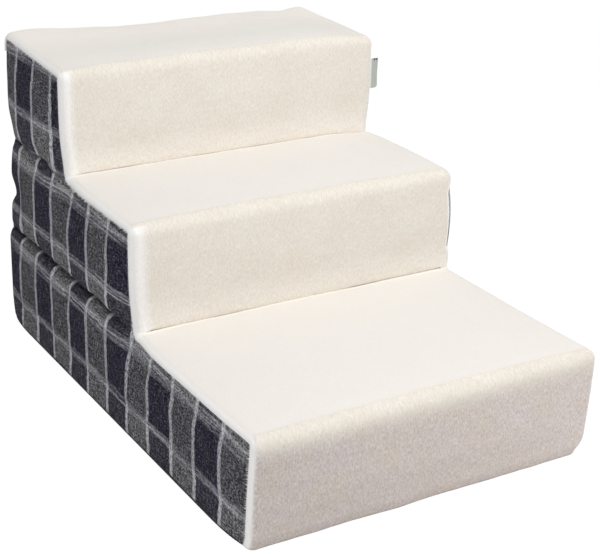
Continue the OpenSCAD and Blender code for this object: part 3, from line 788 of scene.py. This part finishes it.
def make_base():
    """The base cloth, laid under the foam."""
    ys = np.linspace(FACE_YS[0] + BASE_TOE_IN, BACK_Y - BASE_BACK_IN, 141)
    y, share = np.meshgrid(ys, np.linspace(0, 1, 61), indexing="ij")
    left, right = -base_reach(y, -1), base_reach(y, 1)
    top = LOW_Z + 0.6 * MM
    grid = np.stack([left + (right - left) * share, y, top + 0 * y], 2)
    piece = new_grid("base_cloth", grid, flip=True)
    thicken(piece, top - DOT_H)
    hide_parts("base_panel")
    return piece


def make_dots():
    """Domed rubber dots in rows under the base cloth."""
    points, faces = [], []
    nx = int((SIDE_X - 12 * MM) / DOT_PITCH)
    ny = int((BACK_Y - 18 * MM) / DOT_PITCH)
    turns = np.arange(DOT_SIDES) * 2 * math.pi / DOT_SIDES
    for x in np.arange(-nx, nx + 1) * DOT_PITCH:
        for y in np.arange(-ny, ny + 1) * DOT_PITCH:
            add_rings(points, faces, [
                [(x + radius * math.cos(a), y + radius * math.sin(a), height) for a in turns]
                for radius, height in DOT_RINGS
            ])
    return new_piece("grip_dots", points, faces)


# Foam slabs inside the cover, rounded all round and clear of the cloth
FOAM_R = 16 * MM
FOAM_MARGIN = 3 * MM
FOAM_HALF_W = SIDE_X - PANEL_T - FOAM_MARGIN
FOAM_STEP = 5 * MM
FOAM_EDGE_STEPS = 6
FOAM_BACK_IN = 11 * MM


def make_foam(name, node, corners):
    """A foam slab swept along X from its side outline, with rounded ends."""
    loop = corners + corners[:2]
    path = fillet_path(loop, [FOAM_R] * len(corners), arc_steps=7)[1:-1]
    outline = resampled(np.concatenate([path, path[:1]]), FOAM_STEP)[:-1]
    inward = left_of(np.roll(outline, -1, 0) - np.roll(outline, 1, 0))
    ends = np.radians(np.linspace(80, 0, FOAM_EDGE_STEPS))
    flat_x = FOAM_HALF_W - FOAM_R
    sections = [(-flat_x - FOAM_R * math.sin(a), a) for a in ends]
    sections += [(x, 0) for x in np.linspace(-flat_x, flat_x, 60)[1:-1]]
    sections += [(flat_x + FOAM_R * math.sin(a), a) for a in ends[::-1]]
    points, faces = [], []
    add_rings(points, faces, [
        [(x, y, z) for y, z in outline + inward * FOAM_R * (1 - math.cos(a))]
        for x, a in sections
    ])
    piece = new_piece(name, points, faces)
    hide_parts(node)
    return piece


def make_foams():
    """The three slabs of the stack."""
    front_1, front_2, front_3 = (y + RUNNER_T + FOAM_MARGIN for y in FACE_YS)
    front_1 += TOE_IN
    low = CLOTH_Z + 1 * MM
    level_1 = CREASE_1_Z + 4 * MM
    level_2 = CREASE_2_Z + 2 * MM
    tread = min(level_1, FACE_ZS[0] - RUNNER_T - FOAM_MARGIN)
    top = FACE_ZS[2] - RUNNER_T - 2 * FOAM_MARGIN
    back_1 = TAPE_HIGH.y - 6 * MM
    back_2 = float(back_edge(CREASE_2_Z)) - 2 * FOAM_BACK_IN
    back_3 = BACK_TOP_Y - FOAM_BACK_IN
    bottom = [(front_1, low), (back_1, low), (back_1, level_1), (front_1, tread)]
    middle = [(back_1 - FOAM_BACK_IN, level_1), (back_2, level_2)]
    return [
        make_foam("foam_slab_bottom", "foam_bottom", bottom),
        make_foam("foam_slab_middle", "foam_middle", [
            (front_2, level_1), *middle, (front_2, level_2),
        ]),
        make_foam("foam_slab_top", "foam_top", [
            (front_3, level_2), (back_3, level_2), (back_3, top), (front_3, top),
        ]),
    ]


# Small sewn things: the bare label, the zip's tapes, and rows of stitches
LABEL_LOW, LABEL_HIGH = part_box("label_tag")
LABEL_Y = (LABEL_LOW.y + LABEL_HIGH.y) / 2
LABEL_NEAR = SIDE_X - 3 * MM
LABEL_FAR = LABEL_HIGH.x - 3.5 * MM
LABEL_RAISE = 2 * MM
LABEL_CORNER = 4 * MM
LABEL_GAP = 0.45 * MM
RIBBON_T = 0.5 * MM
TAPE_REACH = SLOT_END + SLOT_CLOSE
STITCH_PITCH = 3.2 * MM
STITCH_LONG = 2.3 * MM
STITCH_R = 0.3 * MM
STITCH_SIDES = 6
STITCH_RINGS = 5


def make_label():
    """A folded ribbon in the right seam of the top riser, with one softly rounded corner."""
    leg = np.linspace(LABEL_NEAR, LABEL_FAR - LABEL_GAP, 12)
    path = [(x, LABEL_Y - LABEL_GAP) for x in leg]
    path += [
        (leg[-1] + LABEL_GAP * math.sin(a), LABEL_Y - LABEL_GAP * math.cos(a))
        for a in np.linspace(0, math.pi, 7)[1:-1]
    ]
    path += [(x, LABEL_Y + LABEL_GAP) for x in leg[::-1]]
    x, y = (np.array(places)[:, None] for places in zip(*path))
    share = np.linspace(0, 1, 30)[None]
    low_in = 0.8 * LABEL_CORNER * rounded(clamp01((x - LABEL_FAR) / LABEL_CORNER + 1))
    bend = 0.8 * MM * np.sin(3 * share + 0.4) * (x - LABEL_NEAR) / (LABEL_FAR - LABEL_NEAR)
    z = LABEL_LOW.z + (LABEL_HIGH.z - LABEL_LOW.z) * share + LABEL_RAISE + low_in * (1 - share)
    grid = np.stack(np.broadcast_arrays(x, y + bend, z), 2)
    piece = new_grid("label_ribbon", grid)
    thicken(piece, RIBBON_T, offset=0)
    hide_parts("label_tag")
    return piece


def make_tape(name, node, side):
    """One woven tape of the zip: a raised selvedge outside, and past the teeth it meets the other."""
    low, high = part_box(node)
    teeth_low, teeth_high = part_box("zip_teeth_upper")
    near_z, far_z = (low.z, high.z) if side > 0 else (high.z, low.z)
    xs = np.linspace(-TAPE_REACH, TAPE_REACH, 181)
    x, share = np.meshgrid(xs, np.linspace(0, 1, 13)[::side], indexing="ij")
    past = np.maximum(teeth_low.x - 1.5 * MM - x, x - teeth_high.x - 1.5 * MM)
    inner = near_z + (ZIP_Z + side * 0.05 * MM - near_z) * smooth(past, 3 * MM)
    z = inner + (far_z - inner) * share
    outer = (z - near_z) / (far_z - near_z)
    y = high.y - 0.25 * MM * smooth(outer - 0.1, 0.2)
    y = y + 0.12 * MM * field(x, 0, z, 18 * MM, 71)
    piece = new_grid(name, np.stack([x, y, z], 2), flip=True)
    thicken(piece, (high.y - low.y) * 0.7)
    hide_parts(node)
    return piece


def stitch_row(name, places, out):
    """A row of sewn stitches along a line; each one dips into the cloth at both ends."""
    even = resampled(places, STITCH_PITCH)
    out = np.array(out, float)
    points, faces = [], []
    for here, after in zip(even, even[1:]):
        along = (after - here) / np.linalg.norm(after - here)
        across = np.cross(out, along)
        rings = []
        for share in np.linspace(-1, 1, STITCH_RINGS):
            swell = math.sqrt(max(0.08, 1 - share * share))
            centre = (here + after) / 2 + along * share * STITCH_LONG / 2
            centre = centre + out * STITCH_R * (swell * 1.4 - 0.6)
            turns = np.arange(STITCH_SIDES) * 2 * math.pi / STITCH_SIDES
            arms = [across * math.cos(a) + out * math.sin(a) for a in turns]
            rings.append([centre + arm * STITCH_R * swell for arm in arms])
        add_rings(points, faces, rings)
    return new_piece(name, points, faces)


def back_stitches(name, z, seed):
    """A row of stitches across the back cloth at a height."""
    reach = SIDE_X - BACK_EDGE_R - 4 * MM
    xs = np.linspace(-reach, reach, 120)
    ys = back_surface(xs, z + 0 * xs, seed) + 0.05 * MM
    return stitch_row(name, np.stack([xs, ys, z + 0 * xs], 1), (0, 1, 0))


def label_stitches():
    """The bar of black thread at the label's top: rows that run to and fro."""
    xs = np.linspace(LABEL_FAR - 6.5 * MM, LABEL_FAR - 0.8 * MM, 6)
    y = LABEL_Y - 0.8 * MM
    places = []
    for down, way in ((0.3, 1), (0.8, -1), (1.3, 1), (1.8, -1)):
        places += [(x, y, LABEL_HIGH.z + LABEL_RAISE - down * MM) for x in xs[::way]]
    return stitch_row("label_stitches", np.array(places), (0, -1, 0))


class Nodes:
    """A node tree, with short calls for the nodes that the materials here are made of."""

    def __init__(self, tree):
        self.tree = tree

    def node(self, kind, **settings):
        made = self.tree.nodes.new(kind)
        for name, value in settings.items():
            setattr(made, name, value)
        return made

    def put(self, value, socket):
        """Joins a socket to another, or writes a plain value on it."""
        if isinstance(value, bpy.types.NodeSocket):
            self.tree.links.new(value, socket)
        else:
            socket.default_value = value

    def result(self, kind, *values, **settings):
        """The first output of a new node whose first inputs take these values."""
        made = self.node(kind, **settings)
        for value, socket in zip(values, made.inputs):
            self.put(value, socket)
        return made.outputs[0]

    def math(self, operation, *values):
        return self.result("ShaderNodeMath", *values, operation=operation)

    def plus(self, a, b):
        return self.math("ADD", a, b)

    def times(self, a, b):
        return self.math("MULTIPLY", a, b)

    def vector(self, x, y, z=0.0):
        return self.result("ShaderNodeCombineXYZ", x, y, z)

    def split(self, place):
        """The three coordinates of a place."""
        made = self.node("ShaderNodeSeparateXYZ")
        self.put(place, made.inputs[0])
        return made.outputs

    def ramp(self, value, low, high, to_low=0.0, to_high=1.0):
        """A straight ramp between two values, held beyond them."""
        return self.result("ShaderNodeMapRange", value, low, high, to_low, to_high)

    def wave(self, place, pitch):
        """A sine wave over a coordinate, from -1 to 1."""
        return self.math("SINE", self.times(place, 2 * math.pi / pitch))

    def noise(self, place, scale, detail=2.0, roughness=0.5, stretch=None):
        """Noise over a place, whose axes can be scaled first."""
        if stretch:
            place = self.result("ShaderNodeVectorMath", place, stretch, operation="MULTIPLY")
        made = self.node("ShaderNodeTexNoise")
        self.put(place, made.inputs["Vector"])
        made.inputs["Scale"].default_value = scale
        made.inputs["Detail"].default_value = detail
        made.inputs["Roughness"].default_value = roughness
        return made.outputs[0]

    def mix(self, share, a, b, blend="MIX"):
        made = self.node("ShaderNodeMix", data_type="RGBA", blend_type=blend)
        for value, place in ((share, 0), (a, 6), (b, 7)):
            self.put(value, made.inputs[place])
        return made.outputs[2]

    def toned(self, colour, value, low, high, at_low=0.25, at_high=0.75):
        """A colour that is dimmed or brightened, from low to high, as a noise value rises."""
        level = self.ramp(value, at_low, at_high, low, high)
        grey = self.result("ShaderNodeCombineColor", level, level, level)
        return self.mix(1.0, colour, grey, "MULTIPLY")


class Paint(Nodes):
    """A new material."""

    def __init__(self, name, roughness, sheen=0.0, metallic=0.0, specular=0.5):
        self.material = bpy.data.materials.new(name)
        self.material.use_nodes = True
        super().__init__(self.material.node_tree)
        self.shader = self.tree.nodes["Principled BSDF"]
        for socket, value in (
            ("Roughness", roughness), ("Metallic", metallic), ("Sheen Weight", sheen),
            ("Sheen Roughness", 0.5), ("Specular IOR Level", specular),
        ):
            self.put(value, self.shader.inputs[socket])

    def cloth_place(self, layer):
        """The two coordinates of a named UV layer, in metres."""
        return self.split(self.node("ShaderNodeUVMap", uv_map=layer).outputs[0])[:2]

    def stored(self, name):
        """The red, green and blue shares of a stored colour, and its alpha."""
        colour = self.node("ShaderNodeAttribute", attribute_name=name)
        shares = self.node("ShaderNodeSeparateColor")
        self.put(colour.outputs[0], shares.inputs[0])
        return *shares.outputs, colour.outputs[3]

    def object_place(self):
        return self.node("ShaderNodeTexCoord").outputs["Object"]

    def finish(self, colour, height, distance, strength, roughness=None):
        """Joins up the colour, the bumps and a roughness that varies, and gives the material."""
        bump = self.node("ShaderNodeBump")
        self.put(height, bump.inputs["Height"])
        bump.inputs["Distance"].default_value = distance
        bump.inputs["Strength"].default_value = strength
        self.put(bump.outputs[0], self.shader.inputs["Normal"])
        self.put(colour, self.shader.inputs["Base Color"])
        if roughness:
            self.put(roughness, self.shader.inputs["Roughness"])
        return self.material


def check_line(paint, place, pitch, centre, half_width):
    """1 on the lines of a check that repeats every pitch, 0 between them."""
    moved = paint.plus(place, pitch / 2 - centre)
    away = paint.plus(paint.math("FLOORED_MODULO", moved, pitch), -pitch / 2)
    return paint.ramp(paint.math("ABSOLUTE", away), half_width * 0.75, half_width * 1.25, 1.0, 0.0)


def stripe(paint, place, pitch, start, end):
    """1 from start to end of each pitch, 0 elsewhere."""
    moved = paint.math("FLOORED_MODULO", paint.plus(place, -start), pitch)
    return paint.math("LESS_THAN", moved, end - start)


# The check: 50 mm columns, grey and navy in turn, and rows of 63 and 49 mm, dark and light
COLUMN_PITCH = 50 * MM
COLUMN_START = 4.5 * MM
ROW_PITCH = 112 * MM
ROW_DARK_FROM = 35 * MM
ROW_DARK_TO = 98 * MM
LINE_HALF = 3.0 * MM
LEVEL_HALF = 6.5 * MM
DARK_LEVEL_HALF = 5 * MM
THREAD_PITCH = 2.6 * MM
TWILL_PITCH = 1.7 * MM
NAVY_DARK = (0.032, 0.030, 0.048, 1)
NAVY_LIGHT = (0.060, 0.058, 0.076, 1)
GREY_DARK = (0.100, 0.098, 0.108, 1)
GREY_LIGHT = (0.170, 0.167, 0.175, 1)
LINE_WHITE = (0.80, 0.80, 0.84, 1)
LINE_GREY = (0.60, 0.60, 0.65, 1)
SPARK = (0.40, 0.40, 0.44, 1)
# Painted shade for the bottom of the creases
CREASE_PAINTED_SHADE = (0.004, 0.004, 0.005, 1)


def plaid_material():
    """Woven check in four tones with flecked yarns, pale single-thread lines, and painted shade in
    creases.
    """
    paint = Paint("plaid_cloth", roughness=1.0, specular=0.1)
    u, v = paint.cloth_place("cloth")
    drift = paint.plus(paint.noise(paint.vector(u, v), 38), -0.5)
    sag = paint.plus(paint.noise(paint.vector(v, u), 18, 1.0), -0.5)
    u = paint.plus(u, paint.times(drift, 4 * MM))
    v = paint.plus(v, paint.times(sag, 2.5 * MM))
    place = paint.vector(u, v)
    navy_from = COLUMN_START + COLUMN_PITCH
    navy = stripe(paint, u, 2 * COLUMN_PITCH, navy_from, navy_from + COLUMN_PITCH)
    dark_row = stripe(paint, v, ROW_PITCH, ROW_DARK_FROM, ROW_DARK_TO)
    grey = paint.mix(dark_row, GREY_LIGHT, GREY_DARK)
    blue = paint.mix(dark_row, NAVY_LIGHT, NAVY_DARK)
    cloth = paint.mix(navy, grey, blue)

    # Flecks: threads along both ways of the weave, in shades of their own
    weft = paint.noise(place, 620, 2.0, 0.7, (0.12, 1, 1))
    warp = paint.noise(place, 560, 2.0, 0.7, (1, 0.14, 1))
    fleck = paint.noise(place, 520, 2.0, 0.8, (0.7, 1, 1))
    for threads, low in ((weft, 0.5), (warp, 0.5), (fleck, 0.05)):
        cloth = paint.toned(cloth, threads, low, 2 - low, 0.36, 0.64)
    cloth = paint.mix(paint.ramp(paint.plus(warp, fleck), 1.1, 1.35, 0.0, 0.4), cloth, SPARK)

    # Pale lines: a band of threads up each column edge, and loose single threads along the rows
    upright = check_line(paint, u, COLUMN_PITCH, COLUMN_START, LINE_HALF)
    upright = paint.times(upright, paint.ramp(u, 15 * MM, 20 * MM))
    gaps = paint.noise(place, 260, 3.0, 0.8, (2, 1, 1))
    upright = paint.times(upright, paint.ramp(gaps, 0.38, 0.58, 0.1, 1.0))
    dark_edge = check_line(paint, v, ROW_PITCH, ROW_DARK_FROM, DARK_LEVEL_HALF)
    light_edge = check_line(paint, v, ROW_PITCH, ROW_DARK_TO, LEVEL_HALF)
    level = paint.math("MAXIMUM", dark_edge, light_edge)
    loose = paint.noise(place, 420, 2.0, 0.6, (0.03, 1, 1))
    loose = paint.plus(loose, paint.times(paint.wave(v, THREAD_PITCH), 0.05))
    loose = paint.plus(loose, paint.times(fleck, 0.5))
    level = paint.times(level, paint.ramp(loose, 0.62, 0.95, 0.03, 0.75))
    breaks = paint.noise(place, 420, 2.0, 0.7, (0.35, 1, 1))
    level = paint.times(level, paint.ramp(breaks, 0.38, 0.6, 0.35, 1.05))
    lined = paint.mix(dark_row, LINE_WHITE, LINE_GREY)
    cloth = paint.mix(paint.math("MAXIMUM", upright, level), cloth, lined)
    # Painted shade: the plaid goes towards black along the stored fold mask, in the bottom of each
    # crease
    colour = paint.mix(paint.stored("fold")[0], cloth, CREASE_PAINTED_SHADE)
    twill = paint.wave(paint.plus(u, v), TWILL_PITCH)
    return paint.finish(colour, paint.plus(paint.times(twill, 0.3), fleck), 0.6 * MM, 0.8)


def plush_material():
    """Short cream pile: smooth and pale on the treads; curled on the risers, whose deeper tone is
    painted shade.
    """
    paint = Paint("cream_plush", roughness=1.0, sheen=0.1, specular=0.1)
    u, v = paint.cloth_place("pile")
    place = paint.vector(u, v)
    curls = paint.noise(place, 380, 3.0, 0.75, (1.8, 0.7, 1))
    fibres = paint.noise(place, 800, 2.0, 0.6, (3, 1, 1))
    tufts = paint.noise(place, 90, 3.0, 0.6, (2.5, 1, 1))
    blotch = paint.ramp(paint.noise(place, 22, 3.0), 0.35, 0.65)
    riser, lowest, edge_highlight, painted_light = paint.stored("pile_shade")
    fuzzy = paint.plus(riser, paint.times(paint.plus(tufts, -0.5), 0.7))
    riser = paint.ramp(fuzzy, 0.3, 0.7)
    # The risers take a deeper, warmer tone than the treads: painted shade
    tread = paint.mix(blotch, (0.82, 0.785, 0.745, 1), (0.82, 0.785, 0.735, 1))
    upper = paint.mix(blotch, (0.775, 0.720, 0.640, 1), (0.790, 0.745, 0.675, 1))
    front = paint.mix(blotch, (0.65, 0.580, 0.525, 1), (0.655, 0.590, 0.570, 1))
    front = paint.toned(front, u, 0.91, 1.09, -HALF_W, HALF_W)
    colour = paint.mix(riser, tread, upper)
    # Painted light at the back of the top tread and at the feet of the upper risers
    colour = paint.mix(painted_light, colour, (0.925, 0.88, 0.815, 1))
    colour = paint.mix(paint.times(riser, lowest), colour, front)
    # Painted highlight along the rolled edges
    colour = paint.mix(edge_highlight, colour, (0.97, 0.96, 0.95, 1))
    rough = paint.times(riser, paint.plus(paint.times(lowest, 0.45), 0.3))
    rough = paint.plus(rough, 0.08)
    # The pile's patterns mottle the colour, most on the risers: partly the pile's own tone, partly
    # painted highlight and shade on its curls
    for pattern, low in ((tufts, 0.93), (curls, 0.72), (fibres, 0.88)):
        colour = paint.mix(rough, colour, paint.toned(colour, pattern, low, 2.02 - low, 0.3, 0.7))
    height = paint.plus(curls, paint.times(tufts, 1.5))
    height = paint.times(height, paint.ramp(rough, 0.0, 0.6, 0.12, 0.5))
    return paint.finish(colour, height, 2.2 * MM, 0.55)


def grained_material(
    name, colour, scale, tones, distance, strength, roughness, sheen=0.0, detail=2.0, gloss=None,
):
    """A plain material of one colour, with a grain that shades it and dents it."""
    paint = Paint(name, roughness, sheen)
    grain = paint.noise(paint.object_place(), scale, detail)
    varied = gloss and paint.ramp(grain, 0.3, 0.7, *gloss)
    return paint.finish(paint.toned((*colour, 1), grain, *tones), grain, distance, strength, varied)


def black_cloth_material(name, colour, weave):
    """Plain black woven cloth."""
    paint = Paint(name, roughness=0.85, sheen=0.1)
    place = paint.object_place()
    x, y, z = paint.split(place)
    woven = paint.times(paint.wave(x, weave), paint.wave(paint.plus(y, z), weave))
    shade = paint.plus(paint.times(woven, 0.25), paint.noise(place, 700, 2.0))
    return paint.finish(paint.toned((*colour, 1), shade, 0.6, 1.6), shade, 0.2 * MM, 0.7)


def ribbon_material():
    """Grey-green satin ribbon: fine ribs across it and a paler strip along its sewn side."""
    paint = Paint("label_ribbon", roughness=0.55, sheen=0.2)
    place = paint.object_place()
    x, _, z = paint.split(place)
    grain = paint.noise(place, 800, 2.0, stretch=(1, 1, 3))
    pale = paint.ramp(x, SIDE_X + 2.5 * MM, SIDE_X + 3 * MM, 1.0, 0.0)
    colour = paint.mix(pale, (0.46, 0.48, 0.44, 1), (0.70, 0.72, 0.68, 1))
    height = paint.plus(paint.wave(z, 0.9 * MM), grain)
    return paint.finish(paint.toned(colour, grain, 0.85, 1.1), height, 0.08 * MM, 0.5)


def metal_material():
    """Dark plated metal with fine scratches and brighter wear."""
    paint = Paint("zip_plating", roughness=0.35, metallic=0.9)
    place = paint.object_place()
    scratches = paint.noise(place, 700, 3.0, stretch=(1, 8, 8))
    worn = paint.ramp(paint.noise(place, 350, 3.0), 0.55, 0.7)
    colour = paint.mix(worn, (0.16, 0.16, 0.17, 1), (0.42, 0.42, 0.43, 1))
    gloss = paint.ramp(scratches, 0.3, 0.7, 0.25, 0.5)
    return paint.finish(colour, scratches, 0.03 * MM, 0.4, gloss)


def foam_material():
    """Open-cell foam: pale yellow with pores."""
    paint = Paint("open_foam", roughness=1.0)
    place = paint.object_place()
    pores = paint.noise(place, 700, 3.0, 0.7)
    tint = paint.noise(place, 30, 2.0)
    colour = paint.mix(tint, (0.84, 0.79, 0.60, 1), (0.88, 0.84, 0.68, 1))
    return paint.finish(paint.toned(colour, pores, 0.7, 1.0), pores, 0.4 * MM, 0.8)


def wear(material, *pieces):
    """Gives pieces one material."""
    for piece in pieces:
        piece.data.materials.clear()
        piece.data.materials.append(material)


runner_places = runner_grid()
runner = make_runner(runner_places)
tufts = make_tufts(runner_places)
left_panel = make_side_panel(-1, "side_cloth_left", 11)
right_panel = make_side_panel(1, "side_cloth_right", 31)
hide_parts("side_panel_left")
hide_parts("side_panel_right")
back_upper = make_back_panel("back_cloth_upper", True, 51)
back_lower = make_back_panel("back_cloth_lower", False, 57)
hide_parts("back_panel_upper")
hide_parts("back_panel_lower")
base = make_base()
dots = make_dots()
foams = make_foams()
label = make_label()
tape_upper = make_tape("zip_tape_upper_weave", "zip_tape_upper", 1)
tape_lower = make_tape("zip_tape_lower_weave", "zip_tape_lower", -1)
seams = [
    back_stitches("zip_seam_upper", ZIP_Z + ZIP_SLOT_HALF + 2.5 * MM, 51),
    back_stitches("zip_seam_lower", ZIP_Z - ZIP_SLOT_HALF - 2.5 * MM, 57),
    label_stitches(),
]

wear(foam_material(), *foams)
wear(plush_material(), runner)
wear(plaid_material(), left_panel, right_panel, back_upper, back_lower)
wear(black_cloth_material("base_weave", (0.014, 0.014, 0.016), 1.6 * MM), base)
tape_look = black_cloth_material("zip_tape_weave", (0.014, 0.014, 0.017), 0.8 * MM)
wear(tape_look, tape_upper, tape_lower)
wear(ribbon_material(), label)
# Loose pile, rubber, sewing thread and the zip's moulded teeth
wear(grained_material(
    "cream_tufts", (0.95, 0.94, 0.92), 900, (0.85, 1.0), 0.2 * MM, 0.6, roughness=1.0,
), tufts)
wear(grained_material(
    "grip_rubber", (0.02, 0.02, 0.021), 1500, (0.7, 1.4), 0.05 * MM, 0.5, roughness=0.6,
), dots)
wear(grained_material(
    "black_thread", (0.012, 0.012, 0.014), 1400, (0.7, 1.3), 0.05 * MM, 0.6, roughness=0.8,
    sheen=0.2,
), *seams)
teeth_look = grained_material(
    "zip_plastic", (0.018, 0.018, 0.02), 900, (0.7, 1.5), 0.03 * MM, 0.4, roughness=0.38,
    detail=3.0, gloss=(0.3, 0.5),
)
for node in ("zip_teeth_upper", "zip_teeth_lower"):
    wear(teeth_look, bpy.data.objects[node])
metal_look = metal_material()
for node in ("zip_top_stops", "zip_bottom_stop", "zip_slider", "zip_pull"):
    wear(metal_look, bpy.data.objects[node])


# Camera: a pinhole fitted to the corners of the three steps
CAMERA_AZIMUTH = math.radians(-30.21)
CAMERA_ELEVATION = math.radians(21.05)
CAMERA_ROLL = math.radians(0.96)
CAMERA_DISTANCE = 1.633
CAMERA_TARGET = Vector((0.004, 0.0053, 0.1743))
SENSOR = 36.0
FOCAL_SHARE = 1532.8 / 600
SHIFT_X = (600 / 2 - 277.95) / 600
SHIFT_Y = (228.68 - 554 / 2) / 600


def make_camera():
    """The camera at the photograph's angle."""
    data = bpy.data.cameras.new("camera")
    data.sensor_width = SENSOR
    data.lens = SENSOR * FOCAL_SHARE
    data.shift_x = SHIFT_X
    data.shift_y = SHIFT_Y
    camera = add_object("camera", data)
    turned = Matrix.Rotation(CAMERA_AZIMUTH, 4, "Z")
    tilted = Matrix.Rotation(math.pi / 2 - CAMERA_ELEVATION, 4, "X")
    rolled = Matrix.Rotation(CAMERA_ROLL, 4, "Z")
    away = Matrix.Translation((0, 0, CAMERA_DISTANCE))
    camera.matrix_world = Matrix.Translation(CAMERA_TARGET) @ turned @ tilted @ rolled @ away
    bpy.context.scene.camera = camera


make_camera()


# Stage: a plain white floor and backdrop, two soft lamps and a pale world
FLOOR_HALF = 6.0
FLOOR_WHITE = 1.08
FLOOR_SHADOW_SHARE = 0.1
WORLD_LEVEL = 0.45
LAMP_AIM = Vector((0, 0, 0.15))
KEY_PLACE = Vector((0.3, -0.85, 1.5))
KEY_SIZE = 0.9
KEY_WATTS = 17
FILL_PLACE = Vector((-1.5, -0.5, 0.8))
FILL_SIZE = 1.0
FILL_WATTS = 4


def floor_material():
    """White floor: what the camera sees of it is lifted to white, and the object's shadow stays."""
    material = bpy.data.materials.new("floor_white")
    material.use_nodes = True
    nodes = Nodes(material.node_tree)
    nodes.tree.nodes.clear()
    matte = nodes.result("ShaderNodeBsdfDiffuse", (0.8, 0.8, 0.8, 1))
    white = nodes.result("ShaderNodeEmission", (1, 1, 1, 1), FLOOR_WHITE)
    seen = nodes.node("ShaderNodeLightPath").outputs["Is Camera Ray"]
    share = nodes.times(seen, 1 - FLOOR_SHADOW_SHARE)
    blend = nodes.result("ShaderNodeMixShader", share, matte, white)
    nodes.put(blend, nodes.node("ShaderNodeOutputMaterial").inputs[0])
    return material


def make_world():
    """A pale world that lights at a plain level and shows white behind the object."""
    world = bpy.data.worlds.new("pale")
    bpy.context.scene.world = world
    world.use_nodes = True
    nodes = Nodes(world.node_tree)
    background = nodes.tree.nodes["Background"]
    path = nodes.node("ShaderNodeLightPath")
    seen = nodes.math("MAXIMUM", path.outputs["Is Camera Ray"], path.outputs["Is Glossy Ray"])
    nodes.put((1, 1, 1, 1), background.inputs["Color"])
    nodes.put(nodes.ramp(seen, 0.0, 1.0, WORLD_LEVEL), background.inputs["Strength"])


def make_lamp(name, place, size, watts):
    """A soft area lamp that faces the stairs."""
    data = bpy.data.lights.new(name, "AREA")
    data.size = size
    data.energy = watts
    lamp = add_object(name, data)
    lamp.location = place
    lamp.rotation_euler = (LAMP_AIM - place).to_track_quat("-Z", "Y").to_euler()


def make_stage():
    """Floor, world and lamps."""
    mesh = bpy.data.meshes.new("floor")
    s = FLOOR_HALF
    mesh.from_pydata([(-s, -s, 0), (s, -s, 0), (s, s, 0), (-s, s, 0)], [], [(0, 1, 2, 3)])
    mesh.materials.append(floor_material())
    add_object("floor", mesh)
    make_world()
    make_lamp("key", KEY_PLACE, KEY_SIZE, KEY_WATTS)
    make_lamp("side_fill", FILL_PLACE, FILL_SIZE, FILL_WATTS)


make_stage()
bpy.context.scene.view_settings.view_transform = "Standard"
